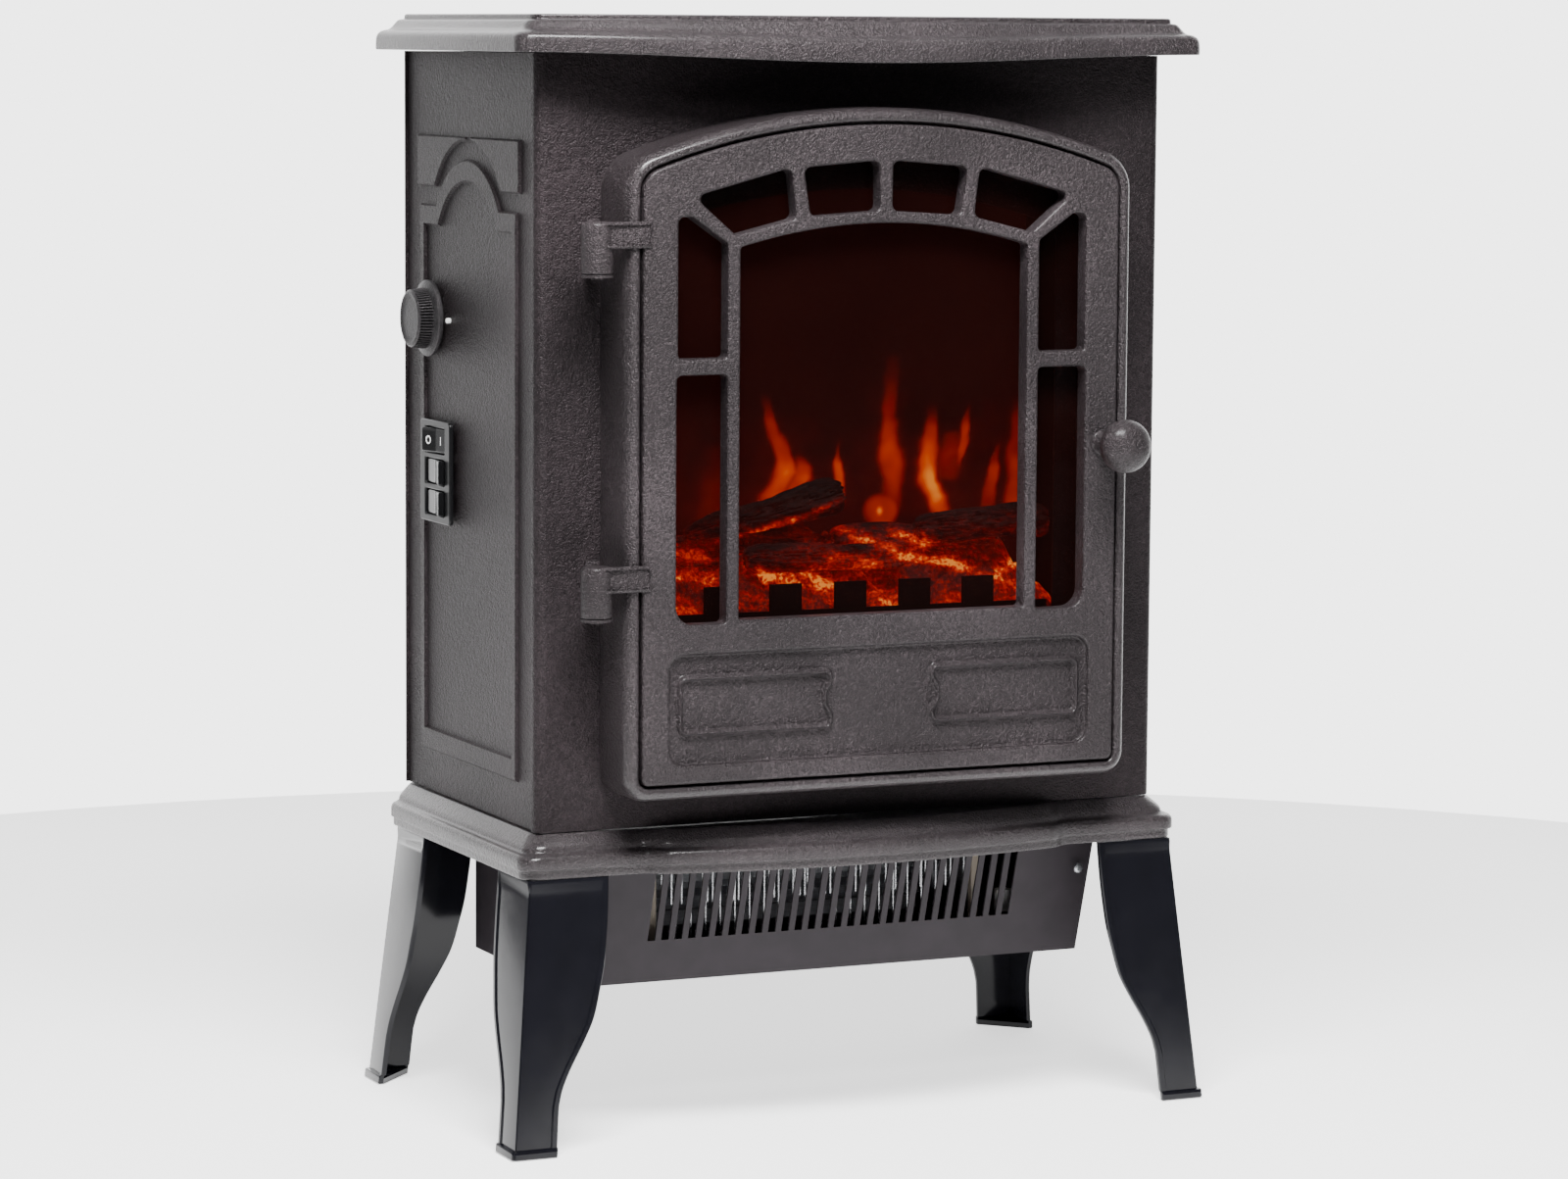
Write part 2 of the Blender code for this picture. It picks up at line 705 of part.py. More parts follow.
def tablet(inset):
    """The right tablet's outline drawn in by inset: two scallops meet in a point at its inner end."""
    x0, x1 = 0.0285 + inset, from_side(0.0215) - inset
    z0, z1 = above_foot(0.0252) + inset, above_foot(0.0575) - inset
    middle = (z0 + z1) / 2
    half = (z1 - z0) / 2
    bite, corner = 0.0050, 0.0030
    points = [(x0, z0), (x1 - corner, z0), (x1, z0 + corner), (x1, z1 - corner), (x1 - corner, z1), (x0, z1)]
    points += [(x0 + bite * 0.8, middle + half * 0.62), (x0 + bite, middle + half * 0.28),
               (x0 + bite * 0.3, middle),
               (x0 + bite, middle - half * 0.28), (x0 + bite * 0.8, middle - half * 0.62)]
    return points


def build_door(pivot):
    outer = arched()
    windows = door_windows()
    half = from_side(0.0155)
    recess = round_rect(-half, above_foot(0.0100), half, above_foot(0.0687), RECESS_R)
    ridges = [tablet(0.0), mirror(tablet(0.0))]
    wells = [tablet(RIDGE_W), mirror(tablet(RIDGE_W))]
    r = Relief("xz")
    face = -DOOR_FACE
    floor = face + RECESS_DEPTH
    raised = floor - RIDGE_UP
    back = face + DOOR_T
    r.cap(outer, windows + [recess], face)
    r.cap(recess, ridges, floor)
    for ridge, well in zip(ridges, wells):
        r.cap(ridge, [well], raised)
        r.cap(well, [], floor)
        r.wall(ridge, floor, raised)
        r.wall(well, raised, floor)
    r.wall(recess, face, floor)
    r.cap(outer, windows, back)
    for loop in [outer] + windows:
        r.wall(loop, face, back)
    return add_mesh("door", r.verts, r.faces, "door", pivot)


DOOR_PIVOT = (HINGE_X, HINGE_Y, 0.36)
GLASS_T = 0.003
GLASS_INSET = 0.008  # glass edge in from the door's edge
RETAINER_INSET = 0.006
RETAINER_W = 0.0115
RETAINER_T = 0.0015
RETAINER_FOOT = 0.070  # retainer's foot above the door's
build_door(DOOR_PIVOT)


def inset_arch(inset, foot):
    """The door's outline drawn in by inset, standing on foot."""
    return arched(half=DOOR_X - inset, foot=foot, top=DOOR_TOP - inset, arch=DOOR_ARCH_R - inset, corner=0.009,
                  foot_r=0.006)


glass_foot = DOOR_Z + RETAINER_FOOT + GLASS_INSET - RETAINER_INSET
plate("door_glass", "xz", inset_arch(GLASS_INSET, glass_foot), DOOR_BACK + GAP, DOOR_BACK + GAP + GLASS_T,
      "plastic", pivot=DOOR_PIVOT)
retainer_low = DOOR_BACK + GLASS_T + 2 * GAP
plate("glass_retainer", "xz", inset_arch(RETAINER_INSET, DOOR_Z + RETAINER_FOOT), retainer_low,
      retainer_low + RETAINER_T, "casing",
      [inset_arch(RETAINER_INSET + RETAINER_W, DOOR_Z + RETAINER_FOOT + RETAINER_W)], DOOR_PIVOT)


def build_hinge(tag, top):
    """A round knuckle and its arm turn with the door on a pin that stands up from the fixed bracket's ear."""
    low = top - KNUCKLE_H
    face = HINGE_Y - KNUCKLE_R
    door_x = -DOOR_X
    under = face + ARM_T
    heel = HINGE_X + 0.7 * KNUCKLE_R
    tip_x = door_x + ARM_REACH
    arm = [(HINGE_X, face), (door_x - 0.001, face), (tip_x, under - 0.0004), (tip_x, under),
           (heel, under), (heel, HINGE_Y), (HINGE_X, HINGE_Y)]
    axis = (HINGE_X, HINGE_Y, 0)
    bevel = 0.3 * KNUCKLE_ROUND
    leaf = turned("hinge_leaf_" + tag, "z", axis,
                  [(0, low), (KNUCKLE_R - 0.0004, low), (KNUCKLE_R, low + 0.0004),
                  (KNUCKLE_R, top - KNUCKLE_ROUND),
                   (KNUCKLE_R - bevel, top - bevel), (KNUCKLE_R - KNUCKLE_ROUND, top), (0, top)],
                  "door", 32, DOOR_PIVOT)
    strap = plate("cut_arm_" + tag, "xy", arm, top - ARM_H, top - 0.0004, "door", cutter=True)
    bore = rod("cut_bore_" + tag, "z", axis, HINGE_PIN_R + PIN_CLEAR, low - 0.001, low + HINGE_PIN_UP + 0.002,
               "door", cutter=True)
    combine(leaf, "UNION", strap)
    combine(leaf, "DIFFERENCE", bore)
    # fixed bracket: an ear under the knuckle, and a foot flat on the fascia
    ear_top = low - GAP
    foot_x0 = HINGE_X + 0.7 * KNUCKLE_R
    foot_x1 = foot_x0 + BRACKET_W
    ear = []
    for k in range(15):
        t = math.radians(150 + 210 * k / 14)
        ear.append((HINGE_X + KNUCKLE_R * math.cos(t), HINGE_Y + KNUCKLE_R * math.sin(t)))
    ear += [(HINGE_X + KNUCKLE_R, HINGE_Y / 2), (foot_x1, HINGE_Y / 3), (foot_x1, -GAP), (foot_x0, -GAP)]
    bracket = plate("hinge_bracket_" + tag, "xy", ear, ear_top - EAR_T, ear_top, "door")
    footing = rect(foot_x0, -GAP - BRACKET_T, foot_x1, -GAP)
    foot = plate("cut_foot_" + tag, "xy", footing, ear_top - EAR_T, top, "door",
                 cutter=True)
    hole = rod("cut_ear_" + tag, "z", axis, HINGE_PIN_R + PIN_CLEAR, ear_top - EAR_T - 0.001, ear_top + 0.001,
               "door", cutter=True)
    combine(bracket, "UNION", foot)
    combine(bracket, "DIFFERENCE", hole)
    head = ear_top - EAR_T - GAP
    head_r = HINGE_PIN_R + 0.0012
    end = low + HINGE_PIN_UP
    turned("hinge_pin_" + tag, "z", axis,
           [(0, head - 0.0008), (head_r, head - 0.0008), (head_r, head), (HINGE_PIN_R, head), (HINGE_PIN_R, end),
            (0, end)], "steel", 20)


for hinge_tag, hinge_top in zip(("upper", "lower"), HINGE_TOPS):
    build_hinge(hinge_tag, hinge_top)


def build_knob():
    """A flattened ball on a waisted stem that a screw holds through the door."""
    centre = -(DOOR_FACE + KNOB_REACH)
    depth = KNOB_R * KNOB_FLAT
    profile = []
    for k in range(13):
        t = math.pi * k / 12
        profile.append((KNOB_R * math.sin(t), -depth * math.cos(t)))
    profile[0] = (0, -depth)
    # the ball's back is flat where the stem meets it
    flat = depth * 0.92
    profile = [p for p in profile if p[1] < flat] + [(KNOB_R * 0.38, flat), (0, flat)]
    turned("door_knob", "y", (KNOB_X, centre, KNOB_Z), profile, "door", 32, DOOR_PIVOT)
    stem_low = centre + flat + GAP
    stem_high = -DOOR_FACE - GAP
    turned("knob_stem", "y", (KNOB_X, 0, KNOB_Z),
           [(0, stem_low), (0.0050, stem_low), (0.0044, (stem_low + stem_high) / 2), (0.0052, stem_high - 0.002),
            (0.0070, stem_high - 0.001), (0.0070, stem_high), (0, stem_high)], "door", 24, DOOR_PIVOT)


build_knob()
STRIKE_T = 0.0018
STRIKE_W = 0.013
STRIKE_H = 0.030
CATCH_X = DOOR_X - 0.0118
CATCH_Z = DOOR_Z + 0.043
CATCH_W = 0.011
CATCH_H = 0.024
box("door_strike", (CATCH_X - STRIKE_W / 2, DOOR_BACK + GAP, CATCH_Z - STRIKE_H / 2),
    (CATCH_X + STRIKE_W / 2, DOOR_BACK + GAP + STRIKE_T, CATCH_Z + STRIKE_H / 2), "steel", DOOR_PIVOT)
box("door_catch", (CATCH_X - CATCH_W / 2, DOOR_BACK + STRIKE_T + 2 * GAP, CATCH_Z - CATCH_H / 2),
    (CATCH_X + CATCH_W / 2, -GAP, CATCH_Z + CATCH_H / 2), "plastic")


# ---------------------------------------------------------------- controls on the left side
def build_dial():
    face = -BODY_X - GAP
    pivot = (-BODY_X, DIAL_Y, DIAL_Z)

    def ribbed(k, along):
        return 0.955 if k % 2 and -DIAL_REACH + 0.001 < along < -0.0034 else 1.0

    socket = DIAL_SHAFT_R + 0.0006
    profile = [(0, -DIAL_REACH), (DIAL_R - 0.0062, -DIAL_REACH), (DIAL_R - 0.0050, -DIAL_REACH + 0.0009),
               (DIAL_R - 0.0046, -DIAL_REACH + 0.0012), (DIAL_R - 0.0034, -0.0040), (DIAL_R - 0.0022, -0.0032),
               (DIAL_R, -0.0024), (DIAL_R, -0.0006), (DIAL_R - 0.0004, 0), (socket, 0),
               (socket, -0.0060), (0, -0.0060)]
    turned("thermostat_knob", "x", (face, DIAL_Y, DIAL_Z), profile, "plastic", 2 * DIAL_RIBS, pivot, wave=ribbed)
    inner = -BODY_X + SHEET + GAP
    turned("thermostat_body", "x", (0, DIAL_Y, DIAL_Z),
           [(0, face - 0.0055), (DIAL_SHAFT_R, face - 0.0055), (DIAL_SHAFT_R, inner), (0.0150, inner),
            (0.0150, inner + 0.018), (0, inner + 0.018)], "white", 24)


def build_switches():
    face = -BODY_X - GAP
    outline = round_rect(SWITCH_Y - BEZEL_W / 2, SWITCH_Z - BEZEL_H / 2,
                         SWITCH_Y + BEZEL_W / 2, SWITCH_Z + BEZEL_H / 2,
                         0.0025, 3)
    slot_l = ROCKER_L / 2 + ROCKER_CLEAR_L
    slot_h = ROCKER_H / 2 + ROCKER_CLEAR_H
    centres = [SWITCH_Z + SWITCH_PITCH, SWITCH_Z, SWITCH_Z - SWITCH_PITCH]
    holes = [rect(SWITCH_Y - slot_l, z - slot_h, SWITCH_Y + slot_l, z + slot_h) for z in centres]
    plate("switch_bezel", "yz", outline, face - BEZEL_T, face, "plastic", holes)
    axis_x = -BODY_X + 0.0018
    for number, z in enumerate(centres, 1):
        pressed_front = number == 1
        tilt = math.radians(-ROCKER_TILT if pressed_front else ROCKER_TILT)
        half = ROCKER_L / 2
        # plan about the axle, x outward negative: two shallow faces meeting over the axle
        flat = [(-0.0052, -half + 0.0004), (-0.0046, -half), (-0.0008, -half), (0.0022, -0.006), (0.0030, 0.0),
                (0.0022, 0.006), (-0.0008, half), (-0.0046, half), (-0.0052, half - 0.0004), (-0.0040, 0.0)]
        outline = []
        for x, y in flat:
            turned_x = x * math.cos(tilt) + y * math.sin(tilt)
            turned_y = -x * math.sin(tilt) + y * math.cos(tilt)
            outline.append((axis_x + turned_x, SWITCH_Y + turned_y))
        plate("rocker_%d" % number, "xy", outline, z - ROCKER_H / 2, z + ROCKER_H / 2, "plastic",
              pivot=(axis_x, SWITCH_Y, z))
        box("switch_body_%d" % number, (-BODY_X + 0.0080, SWITCH_Y - 0.0135, z - SWITCH_BODY_H / 2),
            (-BODY_X + 0.0240, SWITCH_Y + 0.0135, z + SWITCH_BODY_H / 2), "white")


build_dial()
build_switches()


# ---------------------------------------------------------------- fan heater under the base
def build_heater_box():
    """A sheet tray hung under the base, its raked front pierced by upright slots."""
    t = HEATER_T
    top = BASE_Z - GAP
    drop = top - HEATER_Z

    def front_at(z):
        return HEATER_TOP_Y + HEATER_RAKE * (top - z) / drop

    outer = [(HEATER_TOP_Y, top), (front_at(HEATER_Z), HEATER_Z), (HEATER_BACK, HEATER_Z), (HEATER_BACK, top)]
    tray = plate("heater_box", "yz", outer, -HEATER_X, HEATER_X, "casing")
    hollow = [(HEATER_TOP_Y + t - 0.002 * HEATER_RAKE / drop, top + 0.002),
              (front_at(HEATER_Z + t) + t, HEATER_Z + t),
              (HEATER_BACK - t, HEATER_Z + t), (HEATER_BACK - t, top + 0.002)]
    inner = plate("cut_heater_hollow", "yz", hollow, -HEATER_X + t, HEATER_X - t, "casing", cutter=True)
    combine(tray, "DIFFERENCE", inner)
    pitch = VENT_SPAN / VENT_COUNT
    width = pitch * VENT_FILL
    verts = []
    faces = []
    low, high = HEATER_Z + VENT_UP, BASE_Z - VENT_DOWN
    for k in range(VENT_COUNT):
        x = -VENT_SPAN / 2 + pitch * (k + 0.5)
        start = len(verts)
        for z in (low, high):
            for y in (front_at(z) - 0.003, front_at(z) + 0.0045):
                verts += [(x - width / 2, y, z), (x + width / 2, y, z)]
        quads = ((0, 1, 3, 2), (4, 6, 7, 5), (0, 4, 5, 1), (2, 3, 7, 6), (0, 2, 6, 4), (1, 5, 7, 3))
        faces += [[start + i for i in quad] for quad in quads]
    slots = add_mesh("cut_vents", verts, faces, "casing", cutter=True)
    combine(tray, "DIFFERENCE", slots)


def tube(name, path, radius, finish, sides=6):
    """A round wire along a path that lies in one upright plane facing the front."""
    rings = []
    for i, point in enumerate(path):
        here = Vector(point)
        ahead = Vector(path[min(i + 1, len(path) - 1)])
        behind = Vector(path[max(i - 1, 0)])
        along = (ahead - behind).normalized()
        across = Vector((0, 1, 0))
        up = along.cross(across).normalized()
        ring = []
        for k in range(sides):
            t = 2 * math.pi * k / sides
            ring.append(tuple(here + radius * (math.cos(t) * across + math.sin(t) * up)))
        rings.append(ring)
    count = sides
    verts = [p for ring in rings for p in ring]
    faces = []
    for r in range(len(rings) - 1):
        for k in range(count):
            n = (k + 1) % count
            faces.append([r * count + k, r * count + n, (r + 1) * count + n, (r + 1) * count + k])
    faces.append(list(range(count)))
    faces.append([(len(rings) - 1) * count + k for k in range(count)])
    return add_mesh(name, verts, faces, finish)


def build_element():
    low, high, rail = HEATER_Z + 0.012, BASE_Z - 0.006, 0.004
    plate("element_frame", "xz", rect(-ELEMENT_X, low, ELEMENT_X, high), ELEMENT_Y, ELEMENT_Y + ELEMENT_T, "mica",
          [rect(-ELEMENT_X + rail, low + rail, ELEMENT_X - rail, high - rail)])
    path = []
    span = 2 * (ELEMENT_X - 2 * rail)
    for k in range(ELEMENT_TURNS):
        x = -span / 2 + span * k / (ELEMENT_TURNS - 1)
        ends = [low + 1.5 * rail, high - 1.5 * rail]
        for z in ends if k % 2 == 0 else reversed(ends):
            path.append((x, ELEMENT_Y + ELEMENT_T / 2, z))
    tube("heating_wire", path, WIRE_R, "steel", 5)
    foot = HEATER_Z + 0.022
    turned("thermal_cutout", "z", (ELEMENT_X + 0.018, ELEMENT_Y + ELEMENT_T, 0),
           [(0, foot), (0.005, foot), (0.005, foot + 0.012), (0, foot + 0.012)], "white")


def build_fan():
    """A crossflow fan: a bladed drum on a shaft between a bearing plate and its motor."""
    blades = 12
    outline = []
    bore = FAN_SHAFT_R + SHAFT_CLEAR
    for k in range(blades * 2):
        t = math.pi * k / blades
        r = FAN_R if k % 2 else FAN_R * 0.72
        outline.append((FAN_Y + r * math.cos(t), FAN_Z + r * math.sin(t)))
    plate("fan_impeller", "yz", outline, -FAN_X, FAN_X, "zinc", [circle(FAN_Y, FAN_Z, bore, 16)],
          pivot=(0, FAN_Y, FAN_Z))
    rod("fan_shaft", "x", (0, FAN_Y, FAN_Z), FAN_SHAFT_R, -FAN_X - 0.012, FAN_X + 0.0065, "steel", 16,
        (0, FAN_Y, FAN_Z))
    bearing = rect(FAN_Y - 0.018, HEATER_Z + HEATER_T + GAP, FAN_Y + 0.018, FAN_Z + 0.018)
    plate("fan_bearing", "yz", bearing, -FAN_X - 0.009, -FAN_X - 0.006, "zinc", [circle(FAN_Y, FAN_Z, bore, 16)])
    near, far = FAN_X + 0.008, FAN_X + 0.042
    turned("fan_motor", "x", (0, FAN_Y, FAN_Z),
           [(0, near), (FAN_MOTOR_R - 0.002, near), (FAN_MOTOR_R, near + 0.003), (FAN_MOTOR_R, far - 0.004),
            (FAN_MOTOR_R - 0.004, far), (0, far)], "zinc", 28)


build_heater_box()
build_element()
build_fan()


# ---------------------------------------------------------------- fire
FLOOR_Z = SHELF_Z + SHEET + GAP  # what stands on the shelf


def build_firebox():
    shelf_x = CHEEK_X + 0.014
    shelf = rect(-shelf_x, FASCIA_T + GAP, shelf_x, FIRE_BACK + 0.006)
    plate("fire_shelf", "xy", shelf, SHELF_Z, SHELF_Z + SHEET,
          "casing")
    for tag, side in (("left", -1), ("right", 1)):
        x = side * CHEEK_X
        plate("fire_cheek_" + tag, "yz", rect(FASCIA_T + 2 * GAP, FLOOR_Z, FIRE_BACK + 0.003, FIRE_CEILING),
              min(x, x + side * SHEET), max(x, x + side * SHEET), "casing")
    across = CHEEK_X - SCREEN_SIDE
    upright = rect(-across, FLOOR_Z, across, FIRE_CEILING)
    plate("flame_screen", "xz", upright, SCREEN_Y, SCREEN_Y + SCREEN_T, "white")
    plate("fire_back", "xz", upright, FIRE_BACK, FIRE_BACK + SHEET, "casing")


def build_fret():
    end = FIRE_HALF - 0.002
    bar = FIRE_LOW + FRET_BAR
    tooth = FIRE_LOW + FRET_TOOTH
    half = FRET_TOOTH_W / 2
    points = [(-end, FLOOR_Z), (end, FLOOR_Z), (end, bar)]
    for k in range(FRET_TEETH):
        x = ((FRET_TEETH - 1) / 2 - k) * FRET_PITCH
        points += [(x + half, bar), (x + half, tooth), (x - half, tooth), (x - half, bar)]
    points.append((-end, bar))
    plate("fret", "xz", points, FRET_Y, FRET_Y + FRET_T, "door")


# centre x, y, height over the shelf's underside, length, radius, turn about z and lift of the far end in degrees
LOGS = (
    (-0.052, 0.041, 0.0445, 0.098, 0.0125, 6, 3),
    (0.055, 0.0425, 0.0450, 0.098, 0.0125, -2, -2),
    (-0.010, 0.0160, 0.0440, 0.092, 0.0090, -2, -1),
    (-0.041, 0.029, 0.0685, 0.098, 0.0105, 6, 9),
    (0.083, 0.0185, 0.0590, 0.086, 0.0105, -2, 2),
)


def build_logs():
    for number, (cx, cy, cz, length, radius, turn, lift) in enumerate(LOGS, 1):
        frame = Matrix.Rotation(math.radians(turn), 3, "Z") @ Matrix.Rotation(math.radians(-lift), 3, "Y")
        rings = []
        steps = 7
        sides = 10
        for s in range(steps):
            along = -length / 2 + length * s / (steps - 1)
            ring = []
            for k in range(sides):
                t = 2 * math.pi * k / sides
                knot = 1 + 0.07 * math.sin(3 * t + 1.7 * s + number) + 0.05 * math.cos(2 * t + 2.3 * s)
                grow = knot * (0.84 if s in (0, steps - 1) else 1.0)
                p = frame @ Vector((along, radius * grow * math.cos(t), radius * grow * math.sin(t)))
                ring.append((cx + p.x, cy + p.y, SHELF_Z + cz + p.z))
            rings.append(ring)
        count = sides
        verts = [p for ring in rings for p in ring]
        faces = []
        for r in range(steps - 1):
            for k in range(count):
                n = (k + 1) % count
                faces.append([r * count + k, r * count + n, (r + 1) * count + n, (r + 1) * count + k])
        faces.append(list(range(count)))
        faces.append([(steps - 1) * count + k for k in range(count)])
        add_mesh("log_%d" % number, verts, faces, "char")


def build_ember_bed():
    """A moulded heap that fills the tray between the fret and the flame screen."""
    nx, ny = 22, 6
    x0, x1 = -(CHEEK_X - 0.006), CHEEK_X - 0.006
    y0, y1 = FRET_Y + FRET_T + 0.002, SCREEN_Y - 0.002
    low = FLOOR_Z
    verts = []
    for j in range(ny + 1):
        for i in range(nx + 1):
            u = i / nx
            v = j / ny
            x = x0 + (x1 - x0) * u
            y = y0 + (y1 - y0) * v
            edge = min(1.0, 6 * min(u, 1 - u)) * min(1.0, 5 * min(v + 0.1, 1.02 - v))
            rough = 0.0016 * math.sin(9.1 * u + 5.3 * v) * math.cos(23 * u - 7 * v)
            rough += 0.001 * math.sin(51 * u + 19 * v)
            verts.append((x, y, low + 0.012 + 0.010 * edge + rough))
    top = len(verts)
    verts += [(x, y, low) for x, y, z in verts[:top]]
    faces = []

    def at(i, j):
        return j * (nx + 1) + i

    for j in range(ny):
        for i in range(nx):
            quad = [at(i, j), at(i + 1, j), at(i + 1, j + 1), at(i, j + 1)]
            faces.append(quad)
    rim = [at(i, 0) for i in range(nx)] + [at(nx, j) for j in range(ny)]
    rim += [at(i, ny) for i in range(nx, 0, -1)] + [at(0, j) for j in range(ny, 0, -1)]
    for a, b in zip(rim, rim[1:] + rim[:1]):
        faces.append([a, b, b + top, a + top])
    faces.append([i + top for i in rim])
    used = sorted({i for face in faces for i in face})
    renumber = {old: new for new, old in enumerate(used)}
    add_mesh("ember_bed", [verts[i] for i in used], [[renumber[i] for i in f] for f in faces], "char")


def build_flame_drive():
    """A spindle with bright blades turns behind the screen and throws moving light up it."""
    pivot = (0, ROTOR_Y, ROTOR_Z)
    bore = ROTOR_SHAFT_R + SHAFT_CLEAR
    outline = []
    root = 0.0045
    for k in range(ROTOR_BLADES):
        for r, turn in ((root, -24), (ROTOR_R, -6), (ROTOR_R, 6), (root, 24)):
            t = math.radians(360 / ROTOR_BLADES * k + turn)
            outline.append((ROTOR_Y + r * math.cos(t), ROTOR_Z + r * math.sin(t)))
    spindle_hole = [circle(ROTOR_Y, ROTOR_Z, bore, 16)]
    plate("flame_rotor", "yz", outline, -ROTOR_X, ROTOR_X, "steel", spindle_hole, pivot=pivot)
    rod("rotor_spindle", "x", (0, ROTOR_Y, ROTOR_Z), ROTOR_SHAFT_R,
        -ROTOR_X - 0.012, ROTOR_X + 0.0058, "steel", 16,
        pivot)
    stand = [(ROTOR_Y - 0.012, FLOOR_Z), (ROTOR_Y + 0.012, FLOOR_Z), (ROTOR_Y + 0.007, ROTOR_Z + 0.007),
             (ROTOR_Y - 0.007, ROTOR_Z + 0.007)]
    plate("rotor_stand", "yz", stand, -ROTOR_X - 0.0095, -ROTOR_X - 0.0065, "zinc",
          [circle(ROTOR_Y, ROTOR_Z, bore, 16)])
    near, far = ROTOR_X + 0.007, ROTOR_X + 0.028
    turned("flame_motor", "x", (0, ROTOR_Y, ROTOR_Z),
           [(0, near), (0.016, near), (0.018, near + 0.002), (0.018, far - 0.002), (0.016, far), (0, far)],
           "zinc", 24)
    board_x = ROTOR_X - 0.003
    board_y = SCREEN_Y + SCREEN_T + 0.005
    box("led_board", (-board_x, board_y, FLOOR_Z), (board_x, board_y + 0.0165, FLOOR_Z + 0.001), "board")


build_firebox()
build_fret()
build_logs()
build_ember_bed()
build_flame_drive()


# ---------------------------------------------------------------- mains inlet
box("terminal_block", (INLET_X - 0.030, BODY_D - 0.0334, BODY_Z + 0.007),
    (INLET_X + 0.025, BODY_D - 0.0134, BODY_Z + 0.023), "white")
turned("cable_gland", "y", (INLET_X, 0, INLET_Z),
       [(0, BODY_D - 0.012), (INLET_R, BODY_D - 0.012), (INLET_R, BODY_D + GAP), (INLET_R + 0.0032, BODY_D + GAP),
        (INLET_R + 0.0027, BODY_D + 0.0045), (0.0045, BODY_D + 0.0045),
        (0.0045, BODY_D + 0.0005), (0, BODY_D + 0.0005)],
       "plastic", 20)
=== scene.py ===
"""Looks for the electric stove heater: finer pieces, materials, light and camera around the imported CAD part."""

import math

import bmesh
import bpy
from mathutils import Matrix, Vector, noise
from mathutils.bvhtree import BVHTree
from mathutils.geometry import delaunay_2d_cdt


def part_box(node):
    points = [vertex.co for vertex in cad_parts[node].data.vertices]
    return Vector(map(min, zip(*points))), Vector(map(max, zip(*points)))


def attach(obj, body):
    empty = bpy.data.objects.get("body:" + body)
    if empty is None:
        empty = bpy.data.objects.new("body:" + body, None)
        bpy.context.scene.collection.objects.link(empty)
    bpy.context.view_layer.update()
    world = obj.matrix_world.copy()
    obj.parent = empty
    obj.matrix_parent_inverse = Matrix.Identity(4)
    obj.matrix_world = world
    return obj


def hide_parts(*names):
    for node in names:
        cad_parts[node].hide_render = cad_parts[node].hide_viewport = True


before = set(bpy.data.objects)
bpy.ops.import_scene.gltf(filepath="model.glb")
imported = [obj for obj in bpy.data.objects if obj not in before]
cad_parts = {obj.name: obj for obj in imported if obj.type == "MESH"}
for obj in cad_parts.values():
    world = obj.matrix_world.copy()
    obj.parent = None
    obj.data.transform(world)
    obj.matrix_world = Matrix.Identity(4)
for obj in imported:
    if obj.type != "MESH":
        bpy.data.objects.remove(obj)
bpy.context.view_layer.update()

# ---------------------------------------------------------------- camera
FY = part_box("front_fascia")[0].y  # front face of the fascia
BODY_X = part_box("front_fascia")[1].x
EYE = (-1.1286, -2.4047 + FY, 0.5905)
YAW, PITCH, ROLL = math.radians(24.33), math.radians(6.42), math.radians(0.37)

lens = bpy.data.cameras.new("camera")
lens.sensor_width = 36.0
lens.lens = 113.41
lens.clip_end = 50.0
camera = bpy.data.objects.new("camera", lens)
bpy.context.scene.collection.objects.link(camera)
forward = Vector((math.sin(YAW) * math.cos(PITCH), math.cos(YAW) * math.cos(PITCH), -math.sin(PITCH)))
level = Vector((math.cos(YAW), -math.sin(YAW), 0.0))
upward = level.cross(forward)
side = math.cos(ROLL) * level + math.sin(ROLL) * upward
top = -math.sin(ROLL) * level + math.cos(ROLL) * upward
turn = Matrix((side, top, -forward)).transposed().to_4x4()
camera.matrix_world = Matrix.Translation(EYE) @ turn
bpy.context.scene.camera = camera

# ---------------------------------------------------------------- sizes read from the frame
lid_low, lid_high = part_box("top_plate")
base_low, base_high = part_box("base_plate")
TOP_Z = lid_high.z
BASE_Z = base_low.z
LID_Z = 0.5803
BODY_Z = base_high.z
BODY_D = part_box("back_panel")[1].y - FY
GAP = 0.0003
DOOR_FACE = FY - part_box("door")[0].y
DOOR_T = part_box("door")[1].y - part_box("door")[0].y
LEG_H = BASE_Z
ROOT = "casing"
DOOR = "door_leaf"


